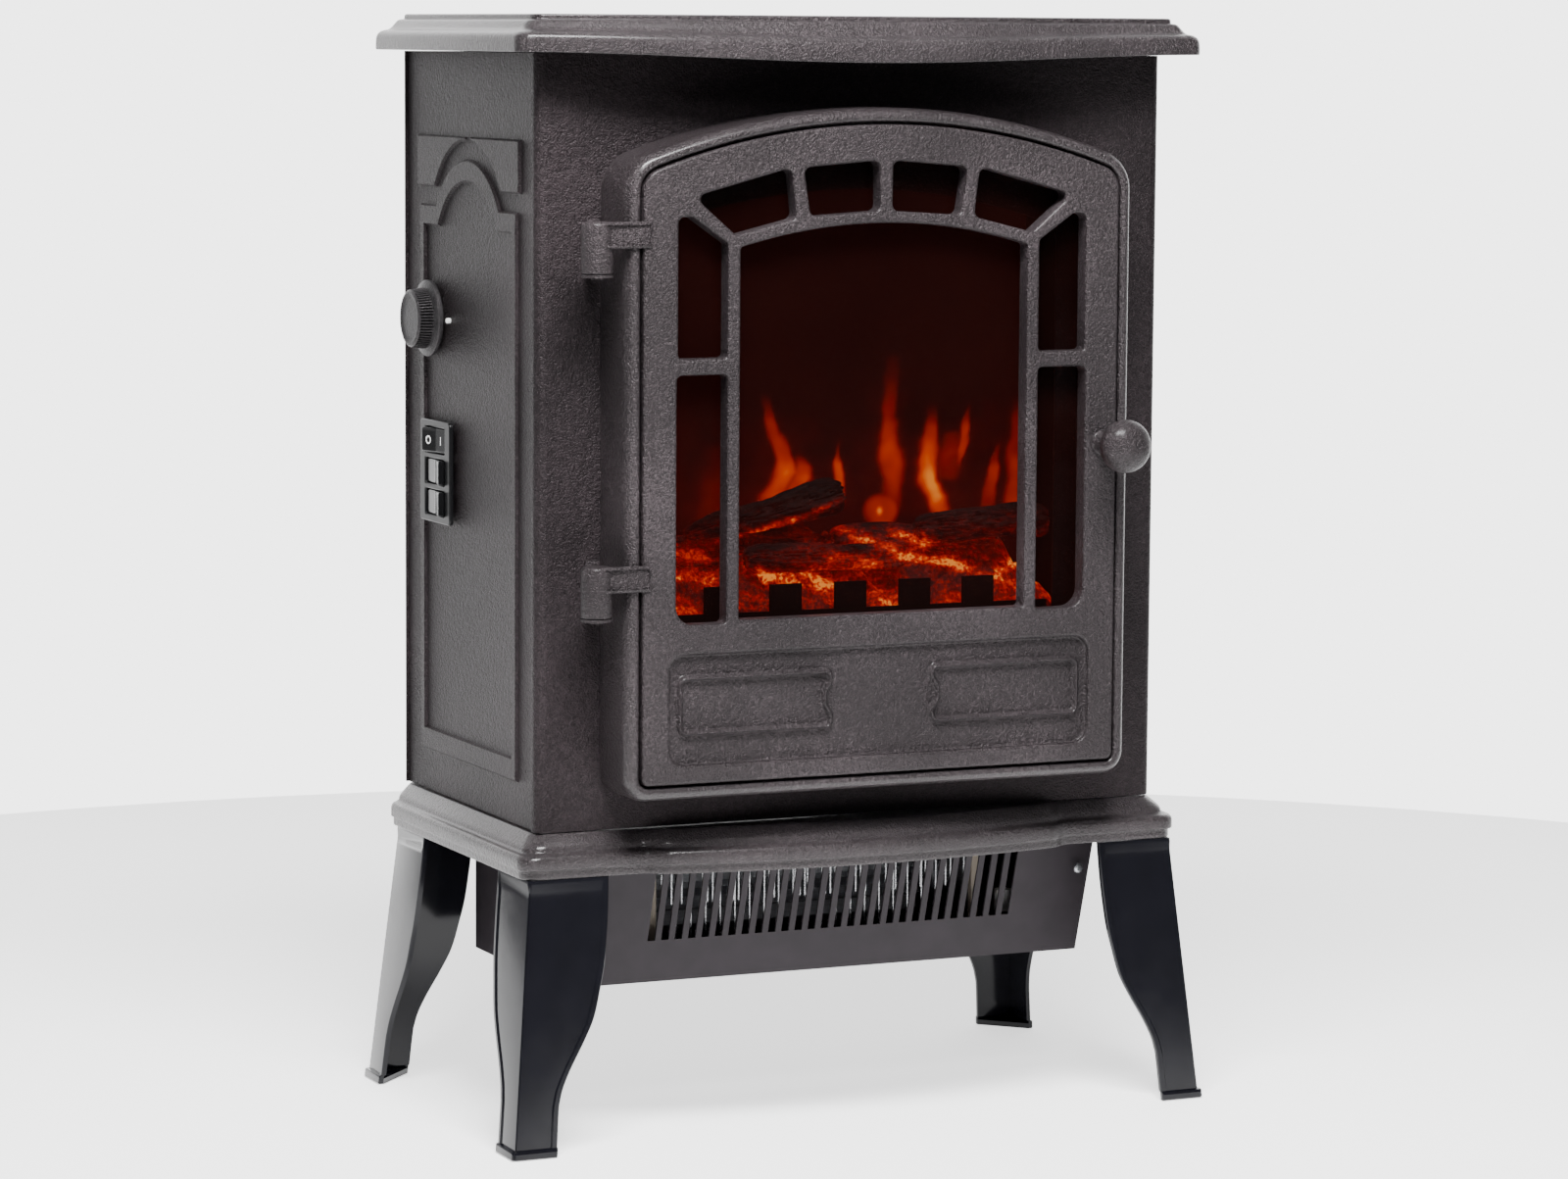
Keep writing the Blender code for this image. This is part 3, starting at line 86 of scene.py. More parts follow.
# ---------------------------------------------------------------- materials
class Nodes:
    """A short way to write a node tree."""

    def __init__(self, name):
        self.material = bpy.data.materials.new(name)
        self.material.use_nodes = True
        self.tree = self.material.node_tree
        self.shader = self.tree.nodes["Principled BSDF"]
        self.output = self.tree.nodes["Material Output"]

    def new(self, kind, **settings):
        node = self.tree.nodes.new(kind)
        for key, value in settings.items():
            setattr(node, key, value)
        return node

    def link(self, a, b):
        self.tree.links.new(a, b)

    def set(self, **values):
        for key, value in values.items():
            self.shader.inputs[key.replace("_", " ")].default_value = value
        return self

    def value(self, operation, *parts):
        node = self.new("ShaderNodeMath", operation=operation)
        for i, part in enumerate(parts):
            if isinstance(part, (int, float)):
                node.inputs[i].default_value = part
            else:
                self.link(part, node.inputs[i])
        return node.outputs[0]

    def place(self):
        return self.new("ShaderNodeTexCoord").outputs["Object"]

    def noise(self, scale, detail=2.0, rough=0.5, vector=None):
        node = self.new("ShaderNodeTexNoise")
        node.inputs["Scale"].default_value = scale
        node.inputs["Detail"].default_value = detail
        node.inputs["Roughness"].default_value = rough
        self.link(vector or self.place(), node.inputs["Vector"])
        return node.outputs["Fac"]

    def ramp(self, factor, stops):
        node = self.new("ShaderNodeValToRGB")
        while len(node.color_ramp.elements) < len(stops):
            node.color_ramp.elements.new(0.5)
        for element, (at, colour) in zip(node.color_ramp.elements, stops):
            element.position = at
            element.color = (*colour, 1) if len(colour) == 3 else colour
        self.link(factor, node.inputs["Fac"])
        return node.outputs["Color"]

    def bump(self, height, strength, distance):
        node = self.new("ShaderNodeBump")
        node.inputs["Strength"].default_value = strength
        node.inputs["Distance"].default_value = distance
        self.link(height, node.inputs["Height"])
        self.link(node.outputs["Normal"], self.shader.inputs["Normal"])


def powder(name, shade, rough, grain=1.0, spec=0.22, coat=0.0):
    """Black powder coat: a fine pebbled skin, specks painted lighter in the base colour as glints, and slow random
    changes of tone.
    """
    n = Nodes(name)
    n.set(Specular_IOR_Level=spec, Specular_Tint=(1.0, 0.90, 0.93, 1), Coat_Weight=coat, Coat_Roughness=0.22)
    slow = n.noise(11.0, 3.0)
    fine = n.noise(950.0, 2.0, 0.6)
    coarse = n.noise(430.0, 2.0, 0.5)
    both = n.value("ADD", n.value("MULTIPLY", fine, 0.6), n.value("MULTIPLY", coarse, 0.4))
    mix = n.value("ADD", n.value("MULTIPLY", slow, 0.35), n.value("MULTIPLY", both, 0.65))
    low = tuple(0.50 * c for c in shade)
    # the lightest stop is painted glint: the coat's specks are painted lighter, the more so as grain grows
    high = tuple((1.0 + 1.3 * grain) * c for c in shade)
    n.link(n.ramp(mix, [(0.38, low), (0.51, shade), (0.63, high)]), n.shader.inputs["Base Color"])
    worn = n.value("ADD", n.value("MULTIPLY", both, 0.34), rough - 0.17)
    n.link(worn, n.shader.inputs["Roughness"])
    n.bump(both, min(1.0, 0.75 * grain), 0.0022)
    return n.material


def plain(name, colour, rough, metal=0.0, fleck=900.0, strength=0.05, spec=0.5):
    n = Nodes(name)
    n.set(Metallic=metal, Specular_IOR_Level=spec)
    mottled = n.noise(60.0, 2.0)
    low = tuple(0.88 * c for c in colour)
    high = tuple(min(1.0, 1.12 * c) for c in colour)
    n.link(n.ramp(mottled, [(0.3, low), (0.7, high)]), n.shader.inputs["Base Color"])
    worn = n.value("ADD", n.value("MULTIPLY", n.noise(90.0, 3.0), 0.12), rough - 0.06)
    n.link(worn, n.shader.inputs["Roughness"])
    n.bump(n.noise(fleck, 2.0), strength, 0.0003)
    return n.material


def brushed(name, colour, rough):
    """Drawn metal: fine lines along the part."""
    n = Nodes(name)
    n.set(Metallic=1.0)
    stretch = n.new("ShaderNodeMapping")
    stretch.inputs["Scale"].default_value = (0.05, 1.0, 1.0)
    n.link(n.place(), stretch.inputs["Vector"])
    lines = n.noise(1600.0, 2.0, 0.5, stretch.outputs[0])
    low = tuple(0.82 * c for c in colour)
    high = tuple(min(1.0, 1.15 * c) for c in colour)
    n.link(n.ramp(lines, [(0.35, low), (0.65, high)]), n.shader.inputs["Base Color"])
    n.link(n.value("ADD", n.value("MULTIPLY", lines, 0.2), rough - 0.1), n.shader.inputs["Roughness"])
    n.bump(lines, 0.12, 0.0002)
    return n.material


def board_material():
    """Green solder mask with copper tracks under it."""
    n = Nodes("circuit_board")
    n.set(Roughness=0.35)
    split = n.new("ShaderNodeSeparateXYZ")
    n.link(n.place(), split.inputs[0])
    wave = n.value("SINE", n.value("MULTIPLY", split.outputs["X"], 900.0))
    gate = n.value("GREATER_THAN", n.value("MULTIPLY", wave, n.noise(55.0, 1.0)), 0.22)
    n.link(n.ramp(gate, [(0.0, (0.015, 0.10, 0.03)), (1.0, (0.05, 0.20, 0.07))]), n.shader.inputs["Base Color"])
    n.bump(gate, 0.3, 0.0002)
    return n.material


def glass_material():
    n = Nodes("smoked_glass")
    n.set(Roughness=0.04, Specular_IOR_Level=0.06)
    n.shader.inputs["Alpha"].default_value = 0.42
    n.link(n.ramp(n.noise(16.0, 2.0), [(0.3, (0.0050, 0.0012, 0.0010)), (0.7, (0.0080, 0.0019, 0.0015))]),
           n.shader.inputs["Base Color"])
    return n.material


def flame_material():
    """The flame screen: painted light, its emission following the piece's glow level spot by spot to show the
    projected fire.
    """
    n = Nodes("projected_flames")
    n.set(Roughness=0.7, Specular_IOR_Level=0.05, Emission_Strength=FLAME_LIGHT)
    n.shader.inputs["Base Color"].default_value = (0.006, 0.002, 0.002, 1)
    glow = n.new("ShaderNodeAttribute", attribute_name="glow_level")
    n.link(n.ramp(glow.outputs["Fac"], [
        (0.0, (0.0050, 0.0008, 0.0007)), (0.10, (0.018, 0.0010, 0.0008)), (0.25, (0.090, 0.0014, 0.0008)),
        (0.45, (0.30, 0.0050, 0.0008)), (0.65, (0.62, 0.022, 0.0010)), (0.85, (1.0, 0.085, 0.003)),
        (1.0, (1.5, 0.40, 0.03))]), n.shader.inputs["Emission Color"])
    return n.material


def ember_material():
    """Charred wood with painted glow: emission that follows the piece's glow level stands in for light from
    within, and its cracks are painted glowing before its bark is.
    """
    n = Nodes("glowing_char")
    n.set(Roughness=0.75, Specular_IOR_Level=0.2, Emission_Strength=EMBER_LIGHT)
    glow = n.new("ShaderNodeAttribute", attribute_name="glow_level").outputs["Fac"]
    stretch = n.new("ShaderNodeMapping")
    stretch.inputs["Scale"].default_value = (0.33, 0.8, 1.0)
    n.link(n.place(), stretch.inputs["Vector"])
    warp = n.new("ShaderNodeTexNoise")
    warp.inputs["Scale"].default_value = 90.0
    warp.inputs["Detail"].default_value = 3.0
    n.link(stretch.outputs[0], warp.inputs["Vector"])
    shift = n.new("ShaderNodeVectorMath", operation="SCALE")
    shift.inputs["Scale"].default_value = 0.011
    mixed = n.new("ShaderNodeVectorMath", operation="ADD")
    n.link(warp.outputs["Color"], shift.inputs[0])
    n.link(stretch.outputs[0], mixed.inputs[0])
    n.link(shift.outputs[0], mixed.inputs[1])
    cell = n.new("ShaderNodeTexVoronoi", feature="DISTANCE_TO_EDGE")
    cell.inputs["Scale"].default_value = 105.0
    n.link(mixed.outputs[0], cell.inputs["Vector"])
    crack = n.ramp(cell.outputs["Distance"], [(0.0, (1, 1, 1)), (0.10, (0.35, 0.35, 0.35)), (0.26, (0, 0, 0))])
    blotch = n.ramp(n.noise(75.0, 4.0, 0.65, mixed.outputs[0]), [(0.36, (0, 0, 0)), (0.66, (1, 1, 1))])
    spark = n.ramp(n.noise(420.0, 3.0, 0.6), [(0.40, (0.45, 0.45, 0.45)), (0.68, (1.3, 1.3, 1.3))])
    grain = n.value("ADD", n.value("MULTIPLY", crack, 0.62), n.value("MULTIPLY", blotch, 0.55))
    even = n.value("ADD", n.value("MULTIPLY", glow, 0.38), 0.10)
    patterned_glow = n.value("MULTIPLY", n.value("ADD", grain, even), glow)
    total = n.value("MULTIPLY", n.value("MULTIPLY", patterned_glow, spark), 0.62)
    n.link(n.ramp(total, [(0.0, (0.0012, 0.0002, 0.0002)), (0.05, (0.020, 0.0006, 0.0004)),
                          (0.20, (0.17, 0.0016, 0.0006)), (0.45, (0.55, 0.0055, 0.0008)),
                          (0.70, (1.0, 0.030, 0.002)), (0.90, (1.25, 0.12, 0.006)),
                          (1.0, (1.7, 0.50, 0.05))]), n.shader.inputs["Emission Color"])
    char = n.ramp(blotch, [(0.0, (0.006, 0.004, 0.004)), (1.0, (0.020, 0.008, 0.006))])
    n.link(char, n.shader.inputs["Base Color"])
    n.bump(n.value("ADD", cell.outputs["Distance"], n.noise(260.0, 3.0)), 0.7, 0.0016)
    return n.material


FLAME_LIGHT = 1.55
EMBER_LIGHT = 1.5
CASING = powder("casing_black", (0.0105, 0.0080, 0.0089), 0.45, 1.0, 0.16)
DOOR_BLACK = powder("door_black", (0.0150, 0.0120, 0.0131), 0.42, 1.5, 0.26, 0.15)
MOULDED = powder("moulded_black", (0.0140, 0.0112, 0.0122), 0.36, 1.4, 0.30, 0.45)
LEG = plain("leg_black", (0.004, 0.004, 0.006), 0.15, 0.0, 400.0, 0.02, 0.26)
HEATER = plain("heater_black", (0.020, 0.0165, 0.0195), 0.5, 0.0, 700.0, 0.10, 0.14)
PLASTIC = plain("black_plastic", (0.0045, 0.0045, 0.005), 0.30, 0.0, 900.0, 0.06, 0.25)
DIAL = powder("dial_plastic", (0.022, 0.021, 0.022), 0.42, 0.5)
ROCKER = plain("rocker_plastic", (0.003, 0.003, 0.0034), 0.17, 0.0, 900.0, 0.02, 0.25)
WHITE = plain("white_plastic", (0.72, 0.72, 0.70), 0.5)
MARK = plain("white_marks", (0.85, 0.85, 0.84), 0.6)
STEEL = brushed("bright_steel", (0.62, 0.62, 0.64), 0.28)
ZINC = brushed("zinc_plate", (0.45, 0.46, 0.48), 0.42)
BOARD = board_material()
MICA = plain("mica_board", (0.40, 0.34, 0.27), 0.7, 0.0, 200.0, 0.3)
INNER = plain("firebox_black", (0.006, 0.005, 0.005), 0.75, 0.0, 500.0, 0.15, 0.1)
GLASS = glass_material()
FLAME = flame_material()
CHAR = ember_material()


# ---------------------------------------------------------------- mesh helpers
def make(name, verts, faces, material, body=ROOT, stands_for=(), slot=None, angle=35.0, local=True):
    """A smooth-shaded piece on a CAD body. Points are measured from the fascia unless local is False."""
    shift = Vector((0, FY, 0)) if local else Vector((0, 0, 0))
    mesh = bpy.data.meshes.new(name)
    mesh.from_pydata([Vector(v) + shift for v in verts], [], faces)
    bm = bmesh.new()
    bm.from_mesh(mesh)
    bmesh.ops.remove_doubles(bm, verts=bm.verts, dist=1e-6)
    bmesh.ops.recalc_face_normals(bm, faces=bm.faces)
    bm.to_mesh(mesh)
    bm.free()
    mesh.shade_smooth()
    mesh.set_sharp_from_angle(angle=math.radians(angle))
    for face in mesh.polygons:  # only the caps of flat areas have other than four sides
        face.use_smooth = face.loop_total == 4
    mesh.materials.append(material)
    obj = bpy.data.objects.new(name, mesh)
    bpy.context.scene.collection.objects.link(obj)
    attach(obj, body)
    if stands_for:
        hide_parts(*([stands_for] if isinstance(stands_for, str) else stands_for))
    return obj


def inside(point, loop):
    x, y = point
    hit = False
    j = len(loop) - 1
    for i in range(len(loop)):
        xi, yi = loop[i]
        xj, yj = loop[j]
        if (yi > y) != (yj > y) and x < (xj - xi) * (y - yi) / (yj - yi) + xi:
            hit = not hit
        j = i
    return hit


def fill(outer, holes):
    points = []
    edges = []
    for loop in [outer] + holes:
        start = len(points)
        points += [Vector(p) for p in loop]
        edges += [(start + i, start + (i + 1) % len(loop)) for i in range(len(loop))]
    got = delaunay_2d_cdt(points, edges, [], 0, 1e-8)
    index = [origin[0] if origin else -1 for origin in got[3]]
    tris = []
    for face in got[2]:
        ids = [index[i] for i in face]
        if -1 in ids:
            continue
        mid = sum((points[i] for i in ids), Vector((0, 0))) / 3
        if inside(mid, outer) and not any(inside(mid, hole) for hole in holes):
            tris.append(ids)
    return tris


def offset(loop, distance):
    """The loop, anticlockwise, grown by distance along its corners' normals."""
    if abs(distance) < 1e-9:
        return list(loop)
    moved = []
    for i in range(len(loop)):
        here = Vector(loop[i])
        before = (here - Vector(loop[i - 1])).normalized()
        after = (Vector(loop[(i + 1) % len(loop)]) - here).normalized()
        n0 = Vector((before.y, -before.x))
        n1 = Vector((after.y, -after.x))
        both = n0 + n1
        if both.length < 1e-6:
            both = n0
        both = both.normalized()
        reach = distance / max(0.5, both.dot(n1))
        moved.append((here.x + both.x * reach, here.y + both.y * reach))
    return moved


def anticlockwise(loop):
    area = sum(a[0] * b[1] - b[0] * a[1] for a, b in zip(loop, loop[1:] + loop[:1]))
    return list(loop) if area > 0 else list(reversed(loop))


def rounded(points, radius, steps=5):
    """A polygon with each corner turned into an arc."""
    out = []
    count = len(points)
    for i in range(count):
        p = Vector(points[i])
        a = Vector(points[i - 1]) - p
        b = Vector(points[(i + 1) % count]) - p
        r = radius[i] if isinstance(radius, (list, tuple)) else radius
        bend = math.acos(max(-1, min(1, a.normalized().dot(b.normalized()))))
        if r <= 0 or abs(bend - math.pi) < 0.02:
            out.append(tuple(p))
            continue
        reach = min(r / math.tan(bend / 2), 0.49 * a.length, 0.49 * b.length)
        r = reach * math.tan(bend / 2)
        start = p + a.normalized() * reach
        end = p + b.normalized() * reach
        centre = p + (a.normalized() + b.normalized()).normalized() * (r / math.sin(bend / 2))
        v0 = start - centre
        v1 = end - centre
        sweep = math.atan2(v0.x * v1.y - v0.y * v1.x, v0.dot(v1))
        for k in range(steps + 1):
            t = sweep * k / steps
            out.append((centre.x + v0.x * math.cos(t) - v0.y * math.sin(t),
                        centre.y + v0.x * math.sin(t) + v0.y * math.cos(t)))
    return out


class Relief:
    """Flat caps over loops, joined by strips that follow a profile of (outward offset, level)."""

    def __init__(self, place):
        self.place = place
        self.verts = []
        self.faces = []
        self.known = {}

    def index(self, point, level):
        key = (round(point[0], 7), round(point[1], 7), round(level, 7))
        if key not in self.known:
            self.known[key] = len(self.verts)
            self.verts.append(self.place(point[0], point[1], level))
        return self.known[key]

    def cap(self, outer, holes, level):
        points = list(outer) + [p for hole in holes for p in hole]
        for tri in fill(list(outer), [list(h) for h in holes]):
            self.faces.append([self.index(points[i], level) for i in tri])

    def strip(self, loop, profile):
        rings = [(offset(loop, d), level) for d, level in profile]
        for (low, a), (high, b) in zip(rings, rings[1:]):
            for i in range(len(loop)):
                n = (i + 1) % len(loop)
                self.faces.append([self.index(low[i], a), self.index(low[n], a), self.index(high[n], b),
                                   self.index(high[i], b)])


def front(a, b, c):
    return (a, c, b)


def left(a, b, c):
    return (c, a, b)


def edge(radius, face, into, grow, steps=4):
    """A rounded edge from the face, inset or outset by radius, to the wall. into is +1 when the wall leads to
    higher levels; grow is -1 for an outer edge and +1 for a hole's."""
    points = []
    for k in range(steps + 1):
        t = math.pi / 2 * k / steps
        points.append((grow * radius * (1 - math.sin(t)), face + into * radius * (1 - math.cos(t))))
    return points


def slab(name, place, outer, low, high, material, holes=(), radius=0.0006, steps=3, **more):
    """A plate with rounded edges on the side of its lower level and plain ones behind."""
    r = Relief(place)
    outer = anticlockwise(outer)
    holes = [anticlockwise(h) for h in holes]
    into = 1 if high > low else -1
    r.cap(offset(outer, -radius), [offset(h, radius) for h in holes], low)
    r.cap(outer, holes, high)
    r.strip(outer, edge(radius, low, into, -1, steps) + [(0, high)])
    for hole in holes:
        r.strip(hole, edge(radius, low, into, 1, steps) + [(0, high)])
    return make(name, r.verts, r.faces, material, **more)


def lathe(name, axis, centre, profile, material, count=64, wave=None, **more):
    verts = []
    faces = []
    rings = []
    for radius, along in profile:
        if radius < 1e-6:
            rings.append([len(verts)])
            verts.append((0, 0, along))
            continue
        ring = []
        for k in range(count):
            t = 2 * math.pi * k / count
            r = radius * (wave(k, along) if wave else 1)
            ring.append(len(verts))
            verts.append((r * math.cos(t), r * math.sin(t), along))
        rings.append(ring)
    for low, high in zip(rings, rings[1:]):
        for k in range(count):
            n = (k + 1) % count
            if len(low) == 1:
                faces.append([low[0], high[n], high[k]])
            elif len(high) == 1:
                faces.append([low[k], low[n], high[0]])
            else:
                faces.append([low[k], low[n], high[n], high[k]])
    turn = {"x": (2, 0, 1), "y": (1, 2, 0), "z": (0, 1, 2)}[axis]
    placed = [tuple(v[turn[i]] + centre[i] for i in range(3)) for v in verts]
    return make(name, placed, faces, material, **more)


def net(rows, columns):
    """The faces of a grid of points laid row by row, and the points round its edge in order."""
    wide = columns + 1
    faces = []
    for j in range(rows):
        for i in range(columns):
            a = j * wide + i
            faces.append([a, a + 1, a + wide + 1, a + wide])
    rim = list(range(columns)) + [j * wide + columns for j in range(rows)]
    rim += [rows * wide + i for i in range(columns, 0, -1)] + [j * wide for j in range(rows, 0, -1)]
    return faces, rim


def walls(rim, start):
    """Quads from a grid's edge to the same number of points from start on."""
    count = len(rim)
    return [[rim[k], rim[(k + 1) % count], start + (k + 1) % count, start + k] for k in range(count)]


def loft(name, rings, material, tube=False, **more):
    count = len(rings[0])
    verts = [p for ring in rings for p in ring]
    faces = []
    last = len(rings) if tube else len(rings) - 1
    for r in range(last):
        a = r * count
        b = ((r + 1) % len(rings)) * count
        for k in range(count):
            n = (k + 1) % count
            faces.append([a + k, a + n, b + n, b + k])
    if not tube:
        for start in (0, (len(rings) - 1) * count):
            loop = [(verts[start + k][0], verts[start + k][1]) for k in range(count)]
            faces += [[start + i for i in tri] for tri in fill(loop, [])]
    return make(name, verts, faces, material, **more)


def smooth_path(points, steps):
    """Catmull-Rom curve through points of any size."""
    out = []
    for i in range(len(points) - 1):
        p = [points[max(i - 1, 0)], points[i], points[i + 1], points[min(i + 2, len(points) - 1)]]
        for s in range(steps):
            t = s / steps
            out.append(tuple(
                0.5 * (2 * b + (c - a) * t + (2 * a - 5 * b + 4 * c - d) * t * t + (3 * b - a - 3 * c + d) * t**3)
                for a, b, c, d in zip(*p)
            ))
    out.append(tuple(points[-1]))
    return out


# ---------------------------------------------------------------- outlines
DOOR_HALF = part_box("door")[1].x
DOOR_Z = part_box("door")[0].z
DOOR_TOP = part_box("door")[1].z


def arched(grow=0.0, half=DOOR_HALF, foot=DOOR_Z, top=DOOR_TOP, arch=0.385, corner=0.013, foot_r=0.004,
           arch_steps=64, corner_steps=10):
    centre_z = top - arch
    side_x = half - corner
    side_z = centre_z + math.sqrt((arch - corner) ** 2 - side_x**2)
    lean = math.atan2(side_z - centre_z, side_x)
    points = []
    for k in range(corner_steps + 1):
        t = -math.pi / 2 + math.pi / 2 * k / corner_steps
        r = foot_r + grow
        points.append((half - foot_r + r * math.cos(t), foot + foot_r + r * math.sin(t)))
    for k in range(corner_steps + 1):
        t = lean * k / corner_steps
        r = corner + grow
        points.append((side_x + r * math.cos(t), side_z + r * math.sin(t)))
    for k in range(1, arch_steps):
        t = lean + (math.pi - 2 * lean) * k / arch_steps
        r = arch + grow
        points.append((r * math.cos(t), centre_z + r * math.sin(t)))
    points += [(-x, z) for x, z in reversed(points[: 2 * (corner_steps + 1)])]
    return points


def mirror(loop):
    return [(-x, z) for x, z in reversed(loop)]


def rect(a0, b0, a1, b1):
    return [(a0, b0), (a1, b0), (a1, b1), (a0, b1)]


def circle(ca, cb, radius, count=48):
    turn = 2 * math.pi / count
    return [(ca + radius * math.cos(turn * k), cb + radius * math.sin(turn * k)) for k in range(count)]


def bell(x, half):
    return 0.0 if abs(x) >= half else 0.5 + 0.5 * math.cos(math.pi * x / half)


# ---------------------------------------------------------------- lid and base
LID_HALF = lid_high.x
LID_BACK = lid_high.y - FY
LID_FRONT = 0.0182
BASE_HALF = base_high.x
BASE_FRONT = 0.0116
BOW_X = 0.121


def lid_bow(x):
    return 0.019 * max(0.0, 1 - (x / LID_HALF) ** 2)


def base_bow(x):
    run = 0.007
    ramp = min(1.0, max(0.0, (BOW_X + run - abs(x)) / (2 * run)))
    ramp = ramp * ramp * (3 - 2 * ramp)
    return 0.006 * ramp + 0.013 * max(0.0, 1 - (x / BOW_X) ** 2)


def moulded_ring(half, front_y, back_y, corner, z, bow, sag=0.0, front_steps=150, corner_steps=8):
    ring = []
    flat = half - corner
    for k in range(front_steps + 1):
        x = -flat + 2 * flat * k / front_steps
        ring.append((x, front_y - bow(x), z - sag * bell(x, half)))
    edge_bow = bow(flat)
    for cx, cy, start in ((flat, front_y + corner, -90), (flat, back_y - corner, 0),
                          (-flat, back_y - corner, 90), (-flat, front_y + corner, 180)):
        for k in range(corner_steps + 1):
            t = math.radians(start + 90 * k / corner_steps)
            if (start == -90 and k == 0) or (start == 180 and k == corner_steps):
                continue
            at_front = cy == front_y + corner
            fade = edge_bow * max(0.0, -math.sin(t)) if at_front else 0.0
            ring.append((cx + corner * math.cos(t), cy + corner * math.sin(t) - fade, z))
    return ring


def build_lid():
    wall = 0.004
    rise = TOP_Z - LID_Z
    coarse = [(0.0003, 0.0, 1.0), (0.0, 0.0012, 1.0), (0.0002, 0.0062, 0.85), (0.0010, 0.0088, 0.72),
              (0.0030, 0.0105, 0.6), (0.0056, 0.0112, 0.5), (0.0072, 0.0124, 0.38), (0.0086, 0.0143, 0.2),
              (0.0100, 0.0161, 0.05), (0.0112, 0.0167, 0.0), (0.0126, 0.0169, 0.0), (0.0130, 0.0173, 0.0),
              (0.0131, rise - 0.0012, 0.0), (0.0134, rise - 0.0004, 0.0), (0.0142, rise, 0.0)]
    rings = []
    for inset, up in ((wall + 0.011, rise - wall), (wall + 0.008, 0.0105), (wall, 0.006), (wall, 0.0)):
        sag = 0.0048 if up < 0.007 else 0.0
        rings.append(moulded_ring(LID_HALF - inset, -LID_FRONT + inset, LID_BACK - inset, 0.004, LID_Z + up,
                                  lid_bow, sag))
    for inset, up, share in smooth_path(coarse, 3):
        corner = 0.008 - 0.22 * inset
        rings.append(moulded_ring(LID_HALF - inset, -LID_FRONT + inset, LID_BACK - inset, corner, LID_Z + up,
                                  lid_bow, 0.0048 * share))
    loft("lid", rings, MOULDED, stands_for="top_plate", slot="casing_black", angle=50)


def build_base():
    wall = 0.004
    rise = BODY_Z - BASE_Z
    coarse = [(0.0018, 0.0), (0.0015, 0.0006), (0.0015, 0.0040), (0.0013, 0.0046), (0.0002, 0.0050), (0.0, 0.0058),
              (0.0, 0.0098), (0.0004, 0.0112), (0.0014, 0.0124), (0.0034, 0.0133), (0.0045, 0.0142),
              (0.0049, 0.0156), (0.0058, 0.0172), (0.0080, 0.0196), (0.0098, 0.0214), (0.0114, rise)]
    rings = []
    back = base_high.y - FY
    for inset, up in ((wall + 0.012, rise - wall), (wall + 0.008, 0.016), (wall + 0.0018, 0.010),
                      (wall + 0.0018, 0.0)):
        rings.append(moulded_ring(BASE_HALF - inset, -BASE_FRONT + inset, back - wall, 0.005, BASE_Z + up,
                                  base_bow))
    for inset, up in smooth_path(coarse, 3):
        rings.append(moulded_ring(BASE_HALF - inset, -BASE_FRONT + inset, back, 0.010, BASE_Z + up, base_bow))
    loft("base", rings, MOULDED, stands_for="base_plate", slot="casing_black", angle=50)


build_lid()
build_base()


# ---------------------------------------------------------------- casing
panel_low, panel_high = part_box("side_panel_left")
Z0, Z1 = panel_low.z, panel_high.z
FIRE = dict(half=0.121, foot=0.270, top=0.508, arch=0.36, corner=0.012, foot_r=0.004)


def build_fascia():
    """Face plate with rounded front corners and a return down each side."""
    t = 0.0015
    opening = arched(**FIRE)
    r = Relief(front)
    radius = 0.0055
    half = BODY_X
    r.cap(rect(-half + radius, Z0, half - radius, Z1), [opening], 0.0)
    r.cap(rect(-half + radius, Z0, half - radius, Z1), [opening], t)
    r.strip(opening, [(0, 0.0), (0, t)])
    for sign in (-1, 1):
        outer = [(half - radius, 0.0)]
        for k in range(1, 7):
            a = math.pi / 2 * k / 6
            outer.append((half - radius + radius * math.sin(a), radius * (1 - math.cos(a))))
        outer.append((half, 0.007))
        inner = [(half - radius, t), (half - t - 0.001, 0.0035), (half - t, radius), (half - t, 0.007)]
        points = outer + inner[::-1]
        for (x0, y0), (x1, y1) in zip(points, points[1:]):
            r.faces.append([r.index((sign * x0, Z0), y0), r.index((sign * x1, Z0), y1),
                            r.index((sign * x1, Z1), y1), r.index((sign * x0, Z1), y0)])
    make("fascia", r.verts, r.faces, CASING, stands_for="front_fascia", slot="casing_black", angle=40)


SIDE_Y0, SIDE_Y1 = panel_low.y - FY, panel_high.y - FY
MID_Y = (SIDE_Y0 + SIDE_Y1) / 2


def arch_panel(half, foot, shoulder, peak, arch_half):
    """A tall panel outline whose top steps in to shoulders and rises to a round arch."""
    rise = peak - shoulder
    sweep_r = (arch_half**2 + rise**2) / (2 * rise)
    lean = math.asin(arch_half / sweep_r)
    points = [(MID_Y - half, foot), (MID_Y + half, foot), (MID_Y + half, shoulder)]
    for k in range(29):
        a = lean - 2 * lean * k / 28
        points.append((MID_Y + sweep_r * math.sin(a), peak - sweep_r + sweep_r * math.cos(a)))
    points.append((MID_Y - half, shoulder))
    return points


